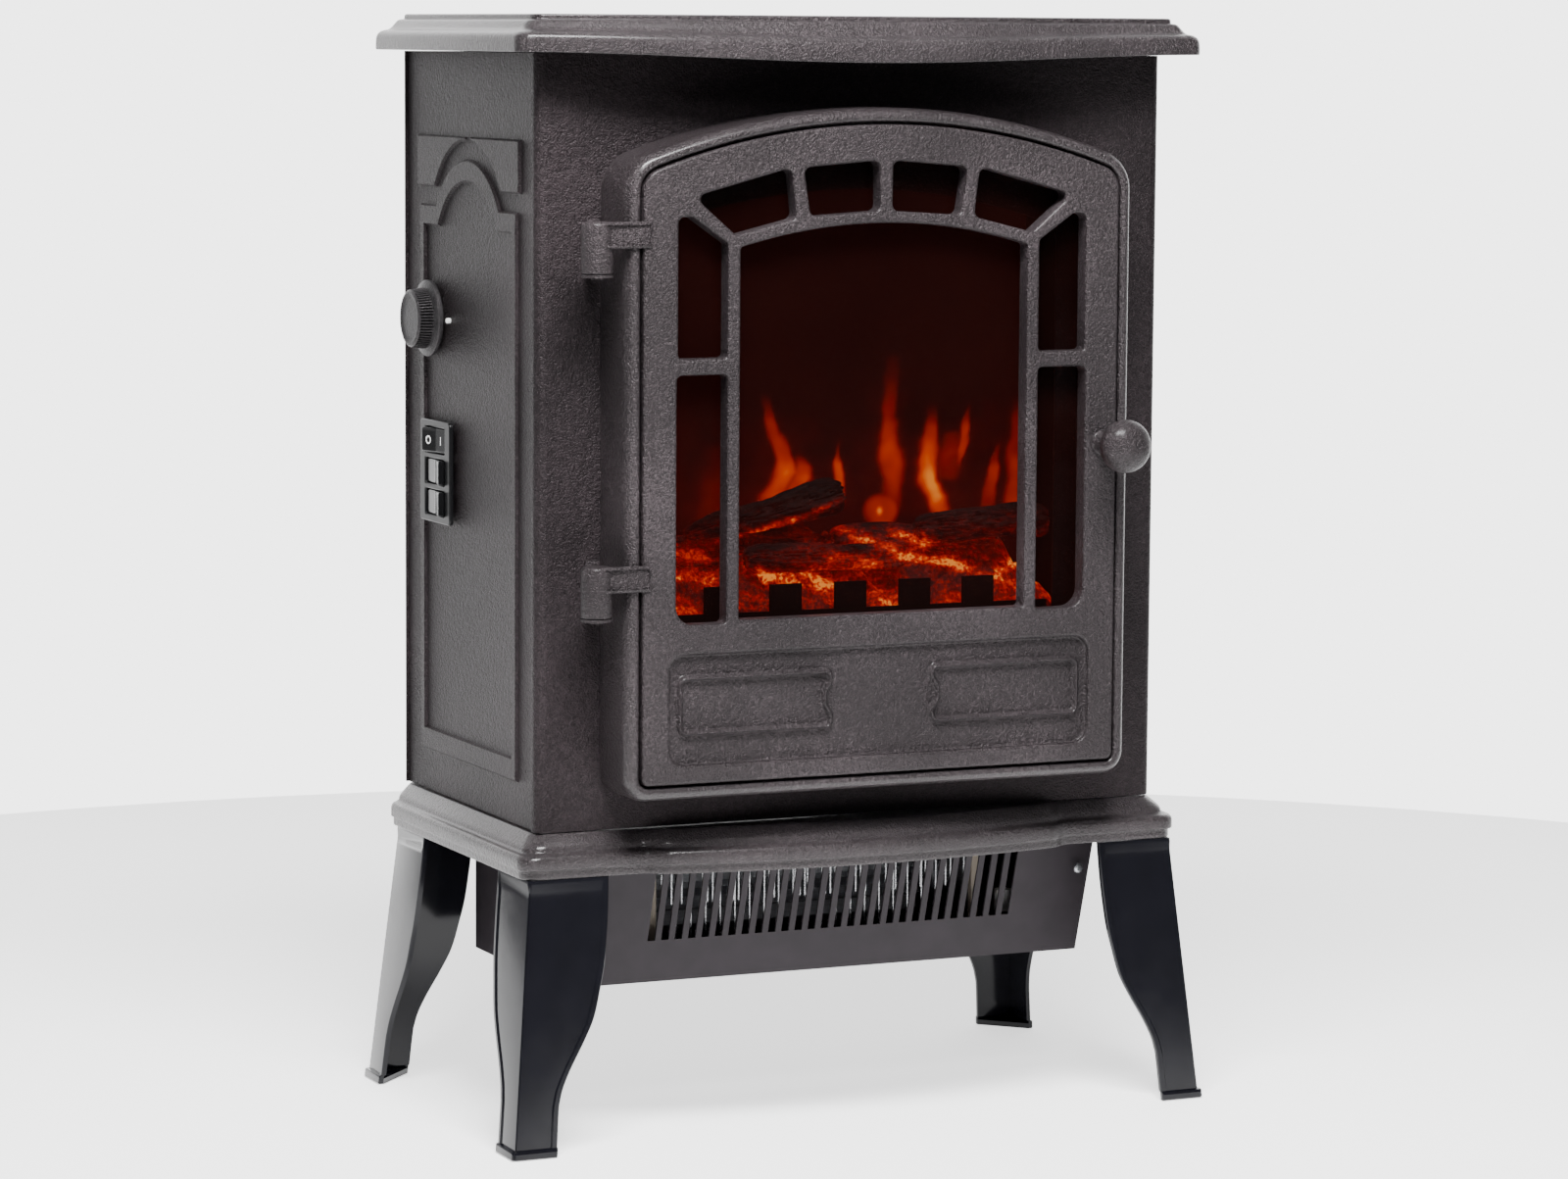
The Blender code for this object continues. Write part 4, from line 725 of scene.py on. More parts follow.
def build_side(sign):
    """A sheet with a raised arched band and a raised tablet over it."""
    face = -BODY_X if sign < 0 else BODY_X
    into = -sign
    low = face + into * 0.0017
    back = face + into * 0.0025
    slope = 0.0014
    band = arch_panel(0.0730, 0.1930, 0.4955, 0.5215, 0.0480)
    well = arch_panel(0.0665, 0.2046, 0.4849, 0.5102, 0.0445)
    tablet_low, tablet_high = 0.5062, 0.5337
    peak, foot_half = 0.5330, 0.0500
    rise = peak - tablet_low
    sweep_r = (foot_half**2 + rise**2) / (2 * rise)
    lean = math.asin(foot_half / sweep_r)
    tablets = []
    for s in (-1, 1):
        points = []
        for k in range(15):
            a = lean - (lean - 0.075) * k / 14
            points.append((MID_Y + s * sweep_r * math.sin(a), peak - sweep_r + sweep_r * math.cos(a)))
        points += [(MID_Y + s * 0.0036, tablet_high), (MID_Y + s * 0.0770, tablet_high),
                   (MID_Y + s * 0.0770, tablet_low)]
        tablets.append(anticlockwise(points))
    outer = rect(SIDE_Y0, Z0, SIDE_Y1, Z1)
    holes = []
    if sign < 0:
        holes = [circle(0.160, 0.4333, 0.0065, 32), rect(0.1297, 0.3237, 0.1641, 0.3751)]
    r = Relief(left)
    band = anticlockwise(band)
    well = anticlockwise(well)
    r.cap(outer, [offset(band, slope / 2)] + [offset(t, slope / 2) for t in tablets], low)
    ramp = [(slope / 2, low), (slope * 0.34, low - into * 0.0001), (-slope * 0.34, face + into * 0.0001),
            (-slope / 2, face)]
    r.strip(band, ramp)
    r.cap(offset(band, -slope / 2), [offset(well, slope / 2)], face)
    r.strip(well, [(slope / 2, face), (slope * 0.34, face + into * 0.0001), (-slope * 0.34, low - into * 0.0001),
                   (-slope / 2, low)])
    r.cap(offset(well, -slope / 2), holes, low)
    for t in tablets:
        r.strip(t, ramp)
        r.cap(offset(t, -slope / 2), [], face)
    r.cap(outer, holes, back)
    for loop in [outer] + holes:
        r.strip(loop, [(0, low), (0, back)])
    tag = "left" if sign < 0 else "right"
    make("side_sheet_" + tag, r.verts, r.faces, CASING, stands_for="side_panel_" + tag, slot="casing_black",
         angle=25)


def build_back():
    inlet = [rounded(rect(-0.06 + 0.012 * k, 0.215, -0.054 + 0.012 * k, 0.245), 0.0028) for k in range(11)]
    outline = rect(-BODY_X, Z0, BODY_X, Z1)
    slab("back_sheet", front, outline, BODY_D, BODY_D - 0.0012, CASING, inlet + [circle(-0.120, 0.205, 0.0085)],
         0.0003, 2, stands_for="back_panel", slot="casing_black")


def build_surround():
    """A deep wall round the door, turned over at the front in a bullnose."""
    crest = -(DOOR_FACE - 0.0006)
    coarse = [(0.0012, -GAP), (0.0012, crest + 0.0024), (0.0015, crest + 0.0013), (0.0024, crest + 0.0004),
              (0.0038, crest), (0.0052, crest + 0.0003), (0.0066, crest + 0.0014), (0.0078, crest + 0.0034),
              (0.0085, crest + 0.0060), (0.0088, crest + 0.0090), (0.0088, -GAP - 0.002), (0.0088, -GAP)]
    profile = [coarse[0]] + smooth_path(coarse[1:10], 3) + [coarse[-1]]
    rings = [[(x, y, z) for x, z in arched(grow)] for grow, y in profile]
    loft("surround", rings, MOULDED, tube=True, stands_for="door_surround", slot="casing_black", angle=40)


build_fascia()
build_side(-1)
build_side(1)
build_back()
build_surround()


# ---------------------------------------------------------------- legs
LEG_WIDTHS = ((1.0, 1.0), (0.90, 1.015), (0.81, 1.02), (0.685, 1.01), (0.59, 0.97), (0.493, 0.915), (0.411, 0.81),
              (0.315, 0.66), (0.247, 0.575), (0.20, 0.545), (0.164, 0.535), (0.034, 0.54))


def build_leg(tag, sign, end):
    """An L-section leg with a raised rim down each free edge, a lipped foot and a three-cornered foot plate."""
    reach, splay, wall, lip = 0.0455, 0.0139, 0.0028, 0.0012
    rim, proud = 0.0030, 0.0008
    top_x = BODY_X + 0.0092 - lip
    top_y = (0.0114 if end < 0 else BODY_D - 0.0056) - lip
    levels = []
    for share_z, share in smooth_path(list(LEG_WIDTHS), 4):
        levels.append((share_z * LEG_H, share, 0.0, proud, False))
    head = [(LEG_H, 1.0, 0.0, 0.0, False), (LEG_H - 0.0022, 1.002, 0.0, 0.0, False)]
    levels = head + [lv for lv in levels if lv[0] < LEG_H - 0.0030]
    foot = LEG_WIDTHS[-1][1]
    levels += [(0.0050, foot, 0.0, proud, False), (0.0047, foot, lip * 0.8, 0.0, False),
               (0.0042, foot, lip, 0.0, False), (0.0030, foot, lip, 0.0, False), (0.0030, foot, lip, 0.0, True),
               (0.0006, foot, lip, 0.0, True), (0.0, foot, lip * 0.7, 0.0, True)]
    rings = []
    for z, share, grow, sunk, webbed in levels:
        x = top_x + splay * (1 - z / LEG_H) + grow
        y = top_y + splay * (1 - z / LEG_H) + grow
        flange = reach * share + grow
        heel = (flange + wall) / 2 if webbed else wall
        c = 0.0022
        s = sunk
        plan_points = [(x - s, y - c), (x - s - 0.08 * c, y - 0.62 * c), (x - s - 0.3 * c, y - s - 0.3 * c),
                       (x - 0.62 * c, y - s - 0.08 * c), (x - c, y - s), (x - flange + rim + 0.0009, y - s),
                       (x - flange + rim, y), (x - flange + 0.0006, y), (x - flange, y - 0.0006),
                       (x - flange, y - wall), (x - heel, y - heel), (x - wall, y - flange),
                       (x - 0.0006, y - flange), (x, y - flange + 0.0006), (x, y - flange + rim),
                       (x - s, y - flange + rim + 0.0009)]
        height = min(z, BASE_Z - GAP)
        rings.append([(sign * px, -py if end < 0 else py, height) for px, py in plan_points])
    loft("stand_" + tag, rings, LEG, stands_for="leg_" + tag, slot="leg_black", angle=30)


for leg_tag, leg_sign, leg_end in (("front_left", -1, -1), ("front_right", 1, -1), ("back_left", -1, 1),
                                   ("back_right", 1, 1)):
    build_leg(leg_tag, leg_sign, leg_end)


# ---------------------------------------------------------------- door
def top_windows():
    """The right half's panes round the centre one: two in the fan, one beside its foot and a tall one below."""
    pane = rounded([(0.0520, 0.4941), (0.0868, 0.4856), (0.1106, 0.5058), (0.0552, 0.5206)],
                   [0.004, 0.003, 0.0032, 0.004])
    middle = rounded([(0.0036, 0.4976), (0.0440, 0.4950), (0.0480, 0.5206), (0.0040, 0.5242)], 0.0036)
    shoulder = rounded([(0.0914, 0.4213), (0.1195, 0.4213), (0.1195, 0.4950), (0.1118, 0.4953), (0.0914, 0.4812)],
                       [0.0026, 0.0026, 0.0036, 0.003, 0.0026])
    lower = rounded([(0.0914, 0.2815), (0.1202, 0.2815), (0.1202, 0.4127), (0.0914, 0.4127)],
                    [0.0026, 0.0100, 0.0032, 0.0026], 8)
    return [pane, middle, shoulder, lower]


def centre_window():
    half, foot, top_z, arch = 0.0842, 0.2830, 0.4912, 0.30
    points = [(-half, foot), (half, foot)]
    lean = math.acos(half / arch)
    for k in range(37):
        t = lean + (math.pi - 2 * lean) * k / 36
        points.append((arch * math.cos(t), top_z - arch + arch * math.sin(t)))
    return rounded(points, [0.0022] * 3 + [0.0] * 35 + [0.0022], 4)


def plaque():
    """A tablet outline whose inner end is bitten by a scallop between two points."""
    x0, z0, x1, z1 = 0.0300, 0.2238, 0.1172, 0.2530
    m = (z0 + z1) / 2
    points = [(x0 + 0.0015, z0), (x1, z0), (x1, z1), (x0 + 0.0015, z1), (x0 - 0.0008, z1 - 0.0042),
              (x0 + 0.0034, m + 0.0040), (x0 + 0.0034, m - 0.0030), (x0 - 0.0008, z0 + 0.0050)]
    return anticlockwise(rounded(points, [0.002, 0.0034, 0.0034, 0.002, 0.004, 0.006, 0.006, 0.004], 6))


def build_door():
    outer = arched()
    windows = [centre_window()]
    for loop in top_windows():
        windows += [loop, mirror(loop)]
    windows = [anticlockwise(w) for w in windows]
    recess = rounded(rect(-0.1238, 0.2070, 0.1238, 0.2657), 0.009, 10)
    face = -DOOR_FACE
    depth = 0.0030
    floor = face + depth
    back = face + DOOR_T
    soft = 0.0017
    r = Relief(front)
    r.cap(offset(outer, -0.0016), [offset(w, soft) for w in windows] + [offset(recess, 0.0016)], face)
    r.strip(outer, edge(0.0016, face, 1, -1) + [(0, back)])
    for w in windows:
        r.strip(w, edge(soft, face, 1, 1) + [(0, back)])
    turns = [math.pi / 2 * k / 3 for k in range(4)]
    fillet = [(0.0016 * (1 - math.sin(t)), face + 0.0016 * (1 - math.cos(t))) for t in turns]
    fillet += [(-0.0014 * (1 - math.cos(t)), floor - 0.0014 * (1 - math.sin(t))) for t in turns]
    r.strip(recess, fillet)
    plaques = [plaque(), anticlockwise(mirror(plaque()))]
    width, high = 0.0021, 0.0026
    r.cap(offset(recess, -0.0014), [offset(p, width) for p in plaques], floor)
    for p in plaques:
        ridge = []
        for k in range(9):
            t = -1 + 2 * k / 8
            ridge.append((-width * t, floor - high * (0.5 + 0.5 * math.cos(math.pi * t))))
        r.strip(p, ridge)
        r.cap(offset(p, -width), [], floor)
    r.cap(outer, windows, back)
    make("door_casting", r.verts, r.faces, DOOR_BLACK, body=DOOR, stands_for="door", slot="casing_black", angle=32)


def build_hinge(tag):
    """A round barrel over the pin with an arm that runs on to the door's face."""
    low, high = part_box("hinge_leaf_" + tag)
    radius = (high.y - low.y) / 2
    x, y = low.x + radius, (low.y + high.y) / 2 - FY
    soft = 0.0026
    profile = [(0, low.z), (radius - 0.0008, low.z), (radius - 0.0002, low.z + 0.0003), (radius, low.z + 0.0010)]
    for k in range(9):
        t = math.pi / 2 * k / 8
        profile.append((radius - soft + soft * math.cos(t), high.z - soft + soft * math.sin(t)))
    profile.append((0, high.z))
    lathe("hinge_barrel_" + tag, "z", (x, y, 0), profile, DOOR_BLACK, 72, body=DOOR,
          stands_for="hinge_leaf_" + tag, slot="casing_black", angle=50)
    face = low.y - FY
    back = -(DOOR_FACE + GAP)
    outline = rounded(rect(x - 0.001, high.z - 0.0138, high.x, high.z), [0.0, 0.0004, 0.0012, 0.0], 4)
    outline = anticlockwise(outline)
    arm = Relief(front)
    curve = 0.0016
    arm.cap(offset(outline, -curve), [], face)
    arm.strip(outline, edge(curve, face, 1, -1, 6) + [(0, back)])
    arm.cap(outline, [], back)
    verts = []
    taper = 0.0052
    for px, py, pz in arm.verts:
        slope = max(0.0, (px - (high.x - taper)) / taper)
        verts.append((px, py + (back - 0.0002 - py) * slope**1.6 if py < back else py, pz))
    make("hinge_arm_" + tag, verts, arm.faces, DOOR_BLACK, body=DOOR, slot="casing_black", angle=35)


def build_knob():
    ball_low, ball_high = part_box("door_knob")
    x, z = (ball_low.x + ball_high.x) / 2, (ball_low.z + ball_high.z) / 2
    y = (ball_low.y + ball_high.y) / 2 - FY
    radius = (ball_high.x - ball_low.x) / 2
    depth = (ball_high.y - ball_low.y) / 2
    profile = []
    for k in range(33):
        t = math.pi * k / 32
        profile.append((radius * math.sin(t), -depth * math.cos(t)))
    profile = [p for p in profile if p[1] < depth * 0.93]
    profile += [(radius * 0.36, depth * 0.95), (0.0050, depth * 0.97), (0, depth * 0.97)]
    lathe("knob_ball", "y", (x, y, z), profile, DOOR_BLACK, 96, body=DOOR, stands_for="door_knob",
          slot="casing_black", angle=60)
    stem_low, stem_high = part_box("knob_stem")
    a, b = stem_low.y - FY, stem_high.y - FY
    stem = smooth_path([(0.0052, a), (0.0046, a + 0.004), (0.0047, a + 0.008), (0.0058, b - 0.0024),
                        (0.0068, b - 0.001), (0.0070, b)], 4)
    lathe("knob_neck", "y", (x, 0, z), [(0, a)] + stem + [(0, b)], DOOR_BLACK, 48, body=DOOR,
          stands_for="knob_stem", slot="casing_black", angle=40)


build_door()
build_hinge("upper")
build_hinge("lower")
build_knob()


# ---------------------------------------------------------------- controls
def build_dial():
    low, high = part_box("thermostat_knob")
    y, z = (low.y + high.y) / 2 - FY, (low.z + high.z) / 2
    back = high.x
    reach = high.x - low.x

    def ribs(k, along):
        if -reach + 0.0016 < along < -0.0040:
            return 1.0 - 0.085 * (k % 4 in (1, 2))
        return 1.0

    profile = [(0, -reach + 0.0007), (0.0118, -reach + 0.0007), (0.0130, -reach + 0.0005), (0.0140, -reach),
               (0.0150, -reach + 0.0002), (0.0158, -reach + 0.0010), (0.0160, -reach + 0.0018), (0.0168, -0.0046),
               (0.0168, -0.0038), (0.0180, -0.0036), (0.0194, -0.0031), (0.0206, -0.0026), (0.0211, -0.0019),
               (0.0212, -0.0010), (0.0210, 0), (0.0036, 0), (0.0036, -0.0060), (0, -0.0060)]
    lathe("dial", "x", (back, y, z), profile, DIAL, 240, ribs, body="thermostat_dial",
          stands_for="thermostat_knob", slot="black_plastic", angle=28)
    spot = [(0, -0.0007), (0.0010, -0.0007), (0.0014, -0.0004), (0.0014, 0.0016), (0, 0.0016)]
    # a small white spot on the left side panel beside the dial, towards the front
    lathe("side_white_spot", "x", (-BODY_X, y - 0.0266, z), spot, MARK, 24, slot="white_plastic", angle=40)


def skin(node):
    """A tree of a CAD node's faces, to find where its surface lies."""
    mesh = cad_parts[node].data
    mesh.calc_loop_triangles()
    points = [v.co.copy() for v in mesh.vertices]
    return BVHTree.FromPolygons(points, [tuple(t.vertices) for t in mesh.loop_triangles])


def build_rocker(number, body):
    """A rocker with softened edges, dished on both sides of its tilt axis."""
    low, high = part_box("rocker_%d" % number)
    tree = skin("rocker_%d" % number)
    z0, z1 = low.z, high.z
    y0, y1 = low.y + 0.0001, high.y - 0.0001
    rows, columns = 30, 12
    ease = 0.0009
    verts = []
    for i in range(rows + 1):
        for j in range(columns + 1):
            u = i / rows
            v = j / columns
            swing = math.cos(math.pi * u)
            y = y0 + (y1 - y0) * (0.5 - 0.5 * swing * (0.35 + 0.65 * abs(swing)))
            z = z0 + 0.0001 + (z1 - z0 - 0.0002) * (0.5 - 0.5 * math.cos(math.pi * v))
            hit = tree.ray_cast(Vector((low.x - 0.05, y, z)), Vector((1, 0, 0)))
            x = hit[0].x if hit[0] else low.x + 0.004
            near = min(y - y0, y1 - y, z - z0, z1 - z)
            lift = ease - math.sqrt(max(0.0, ease**2 - max(0.0, ease - near) ** 2))
            verts.append((x + lift, y, z))
    faces, rim = net(rows, columns)
    start = len(verts)
    for i in rim:  # the back follows the CAD's rounded back, which clears the switch body when it tilts
        hit = tree.ray_cast(Vector((high.x + 0.05, verts[i][1], verts[i][2])), Vector((-1, 0, 0)))
        verts.append(((hit[0].x if hit[0] else high.x) - 0.0001, verts[i][1], verts[i][2]))
    faces += walls(rim, start)
    ends = [start + columns + i for i in range(rows + 1)]
    starts = [start] + [start + 2 * columns + 2 * rows - i for i in range(1, rows + 1)]
    faces.append(list(range(start, start + columns + 1)) + [ends[1], starts[1]])
    faces += [[starts[i], ends[i], ends[i + 1], starts[i + 1]] for i in range(1, rows - 1)]
    faces.append([starts[rows - 1]] + list(range(ends[rows - 1], starts[rows] + 1)))
    make("rocker_cap_%d" % number, verts, faces, ROCKER, body=body, stands_for="rocker_%d" % number,
         slot="black_plastic", angle=50, local=False)
    return tree


def mark(name, tree, loops, body):
    """Ink that lies on a rocker's face: flat rings between pairs of loops, or a filled loop."""
    verts = []
    faces = []
    for outer, inner in loops:
        start = len(verts)
        ring = list(outer) + list(inner)
        for y, z in ring:
            hit = tree.ray_cast(Vector((-0.3, y, z)), Vector((1, 0, 0)))
            verts.append((hit[0].x - 0.0001, y, z))
        tris = fill(list(outer), [list(inner)] if inner else [])
        faces += [[start + i for i in tri] for tri in tris]
    top = len(verts)
    verts += [(x + 0.0002, y, z) for x, y, z in verts[:top]]
    edges = [pair for f in faces for pair in zip(f, f[1:] + f[:1])]
    faces += [[i + top for i in reversed(f)] for f in faces]
    faces += [[b, a, a + top, b + top] for a, b in edges if (b, a) not in edges]
    make(name, verts, faces, MARK, body=body, slot="white_plastic", angle=40, local=False)


def build_switches():
    low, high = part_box("switch_bezel")
    y0, y1 = low.y - FY, high.y - FY
    outline = rounded(rect(y0, low.z, y1, high.z), 0.003, 6)
    holes = []
    mid_y = (y0 + y1) / 2
    for number in (1, 2, 3):
        a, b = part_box("rocker_%d" % number)
        mid_z = (a.z + b.z) / 2
        hole = rect(mid_y - 0.0151, mid_z - 0.00715, mid_y + 0.0151, mid_z + 0.00715)
        holes.append(rounded(hole, 0.0008, 3))
    slab("bezel", left, outline, low.x, high.x, PLASTIC, holes, 0.0008, 4, stands_for="switch_bezel",
         slot="black_plastic")
    trees = [build_rocker(number, "rocker_" + tag) for number, tag in ((1, "a"), (2, "b"), (3, "c"))]
    a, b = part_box("rocker_1")
    z = (a.z + b.z) / 2
    ring = [anticlockwise(circle(a.y + 0.0215, z, r, 32)) for r in (0.0024, 0.0016)]
    bar = anticlockwise(rect(a.y + 0.0072, z - 0.0023, a.y + 0.0080, z + 0.0023))
    mark("rocker_marks", trees[0], [(ring[0], ring[1]), (bar, [])], "rocker_a")


build_dial()
build_switches()


# ---------------------------------------------------------------- fire
def near_segment(x, z, seam):
    (x0, z0), (x1, z1), width, power = seam
    dx, dz = x1 - x0, z1 - z0
    t = max(0.0, min(1.0, ((x - x0) * dx + (z - z0) * dz) / (dx * dx + dz * dz)))
    d = math.hypot(x - x0 - t * dx, z - z0 - t * dz)
    return power * math.exp(-((d / width) ** 2))


def paint(obj, glow):
    """Writes a painted glow level, worked out from the point's x, y and z measured from the fascia, on every
    corner point of the piece.
    """
    layer = obj.data.attributes.new("glow_level", "FLOAT", "POINT")
    layer.data.foreach_set("value", [glow(v.co.x, v.co.y - FY, v.co.z) for v in obj.data.vertices])


def wander(x, y, z, scale, seed):
    return noise.noise(Vector((x * scale + seed, y * scale, z * scale)))


# each tongue: points of (x, z, half width, brightness) from its root to its tip
TONGUES = (
    ((-0.0250, 0.330, 0.0080, 0.40), (-0.0210, 0.339, 0.0090, 0.62), (-0.0120, 0.349, 0.0088, 0.74),
     (-0.0130, 0.358, 0.0052, 0.66), (-0.0176, 0.367, 0.0042, 0.56), (-0.0232, 0.380, 0.0034, 0.44),
     (-0.0252, 0.393, 0.0022, 0.10)),
    ((-0.0080, 0.338, 0.0070, 0.55), (-0.0030, 0.346, 0.0056, 0.70), (-0.0010, 0.353, 0.0046, 0.60),
     (-0.0040, 0.361, 0.0030, 0.15)),
    ((0.0190, 0.334, 0.0042, 0.62), (0.0190, 0.343, 0.0038, 0.74), (0.0192, 0.354, 0.0022, 0.66),
     (0.0193, 0.365, 0.0010, 0.20)),
    ((0.0520, 0.330, 0.0070, 0.34), (0.0532, 0.345, 0.0075, 0.52), (0.0520, 0.356, 0.0085, 0.62),
     (0.0500, 0.368, 0.0068, 0.62), (0.0490, 0.378, 0.0048, 0.46), (0.0508, 0.392, 0.0050, 0.32),
     (0.0515, 0.412, 0.0042, 0.12)),
    ((0.0830, 0.325, 0.0062, 0.66), (0.0790, 0.334, 0.0066, 0.88), (0.0745, 0.343, 0.0060, 0.92),
     (0.0730, 0.354, 0.0060, 0.84), (0.0745, 0.364, 0.0058, 0.66), (0.0760, 0.374, 0.0046, 0.54),
     (0.0766, 0.387, 0.0030, 0.10)),
    ((0.0860, 0.346, 0.0090, 0.30), (0.0870, 0.358, 0.0090, 0.42), (0.0900, 0.368, 0.0064, 0.26)),
    ((0.0930, 0.354, 0.0020, 0.52), (0.0962, 0.363, 0.0026, 0.62), (0.0984, 0.373, 0.0021, 0.56),
     (0.0988, 0.384, 0.0010, 0.16)),
    ((0.1120, 0.328, 0.0050, 0.34), (0.1124, 0.337, 0.0048, 0.50), (0.1150, 0.348, 0.0040, 0.58),
     (0.1190, 0.361, 0.0018, 0.24)),
    ((0.1285, 0.330, 0.0060, 0.52), (0.1290, 0.352, 0.0056, 0.48), (0.1300, 0.378, 0.0046, 0.28),
     (0.1310, 0.392, 0.0040, 0.06)),
    ((-0.0560, 0.326, 0.0120, 0.26), (-0.0540, 0.345, 0.0110, 0.24), (-0.0520, 0.366, 0.0080, 0.12)),
)
BOWL = (0.0455, 0.3285)


def inner_part(d, sharp):
    """1 inside a unit edge and 0 outside it, with a soft change between."""
    return 0.5 - 0.5 * math.tanh(sharp * (d - 0.95))


# painted brightness of one flame tongue on the screen
def tongue_glow(x, z, tongue):
    if z < tongue[0][1] - 0.006 or z > tongue[-1][1] + 0.004:
        return 0.0
    points = tongue
    if z <= points[0][1]:
        mid, half, bright = points[0][0], points[0][2], points[0][3]
        bright *= max(0.0, 1 - (points[0][1] - z) / 0.006)
    elif z >= points[-1][1]:
        mid, half, bright = points[-1][0], points[-1][2], points[-1][3]
        bright *= max(0.0, 1 - (z - points[-1][1]) / 0.004)
    else:
        for a, b in zip(points, points[1:]):
            if a[1] <= z <= b[1]:
                t = (z - a[1]) / (b[1] - a[1])
                mid, half, bright = (a[i] + (b[i] - a[i]) * t for i in (0, 2, 3))
                break
    d = abs(x - mid) / half
    return bright * (0.86 * inner_part(d, 3.2) + 0.26 * math.exp(-((min(d, 20.0) / 2.4) ** 2)))


# the projected flames are painted light: how bright each point of the screen is, from a low haze, the tongues and
# a bright spot over the bowl
def flame_glow(x, y, z):
    bend = 0.0022 * wander(x, 0, z, 60, 3.1) + 0.0010 * wander(x, 0, z, 190, 8.7)
    rise = 0.0030 * wander(x, 0, z, 45, 21.0)
    px, pz = x + bend, z + rise
    glow = 0.035 + 0.10 * math.exp(-max(0.0, z - 0.335) / 0.035)
    glow += 0.05 * math.exp(-(((z - 0.37) / 0.05) ** 2)) * (1 + wander(x, 0, z, 28, 12.0))
    tongues = [tongue_glow(px, pz, t) for t in TONGUES]
    best = max(tongues)
    glow = max(glow, best) + 0.35 * min(glow, best)
    d = math.hypot(x - BOWL[0], (z - BOWL[1]) * (1.0 if z < BOWL[1] else 1.25)) / 0.0118
    glow = max(glow, 0.66 * inner_part(d, 5.0))
    d = math.hypot(x - BOWL[0] + 0.0008, (z - BOWL[1] + 0.001) * 0.8) / 0.0036
    glow = max(glow, 1.05 * math.exp(-(min(d, 10.0) ** 2.4)))
    return min(1.0, glow * (0.92 + 0.16 * wander(x, 0, z, 120, 5.0)))


def build_screen():
    """The ground-glass screen with the projected fire on its front."""
    low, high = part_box("flame_screen")
    step = 0.0011
    columns = int((high.x - low.x) / step)
    rows = int((high.z - low.z) / step)
    y0, y1 = low.y - FY, high.y - FY
    verts = []
    for j in range(rows + 1):
        for i in range(columns + 1):
            verts.append((low.x + (high.x - low.x) * i / columns, y0, low.z + (high.z - low.z) * j / rows))
    faces, rim = net(rows, columns)
    start = len(verts)
    verts += [(verts[i][0], y1, verts[i][2]) for i in rim]
    faces += walls(rim, start)
    faces.append([start + k for k in range(len(rim))])
    screen = make("fire_screen", verts, faces, FLAME, stands_for="flame_screen", slot="white_plastic")
    paint(screen, flame_glow)


# glowing seams in the logs and the bed: two ends as (x, z), width and strength
SEAMS = (
    ((-0.0560, 0.3200), (-0.0244, 0.3285), 0.0022, 0.95), ((-0.0244, 0.3285), (0.0035, 0.3385), 0.0018, 0.80),
    ((-0.0505, 0.3040), (-0.0417, 0.2975), 0.0020, 1.05), ((-0.0417, 0.2975), (-0.0260, 0.2945), 0.0040, 1.9),
    ((-0.0200, 0.2985), (0.0055, 0.2905), 0.0022, 1.6), ((0.0081, 0.3224), (0.0289, 0.3110), 0.0034, 0.85),
    ((0.0423, 0.3185), (0.0574, 0.3112), 0.0036, 1.05), ((0.0320, 0.3075), (0.0725, 0.3010), 0.0026, 1.25),
    ((0.0725, 0.3010), (0.0954, 0.2920), 0.0032, 1.15), ((0.0954, 0.2920), (0.1140, 0.2860), 0.0030, 1.1),
    ((0.0980, 0.2955), (0.1143, 0.2995), 0.0024, 1.3), ((-0.0080, 0.3080), (0.0160, 0.3030), 0.0040, 0.70),
    ((-0.0120, 0.2930), (0.0000, 0.2790), 0.0050, 1.35), ((0.0190, 0.2850), (0.0320, 0.2800), 0.0050, 1.15),
    ((0.0600, 0.2860), (0.0780, 0.2790), 0.0050, 0.95), ((-0.0980, 0.3010), (-0.0740, 0.2960), 0.0040, 1.1),
    ((-0.0960, 0.3140), (-0.0760, 0.3090), 0.0030, 0.9), ((0.1180, 0.2900), (0.1300, 0.2840), 0.0050, 1.0),
    ((-0.1120, 0.2880), (-0.0900, 0.2830), 0.0050, 1.0),
)


# painted glow of the logs and the coal heap: broader lower down, and bright along the seams
def ember_glow(x, y, z):
    deep = max(0.0, min(1.0, (0.342 - z) / 0.040))
    broad = 0.62 * deep * (0.85 + 0.60 * wander(x, y, z, 40, 4.0))
    seams = sum(near_segment(x + 0.0016 * wander(x, y, z, 130, 9.0), z, s) for s in SEAMS)
    return max(0.0, broad + 0.9 * seams * (0.62 if z < 0.298 else 0.9))


# middle from the fascia, length, radius, turn about z and lift in degrees, and how much it thins to the left
LOG_SHAPES = (
    (-0.052, 0.041, 0.3085, 0.098, 0.0125, 6, 3, 0.0), (0.055, 0.0425, 0.3090, 0.098, 0.0125, -2, -2, 0.0),
    (-0.010, 0.016, 0.3080, 0.092, 0.0090, -2, -1, 0.2), (-0.041, 0.029, 0.3315, 0.098, 0.0105, 6, 11, 0.45),
    (0.086, 0.0185, 0.3230, 0.078, 0.0105, -2, 2, 0.25),
)


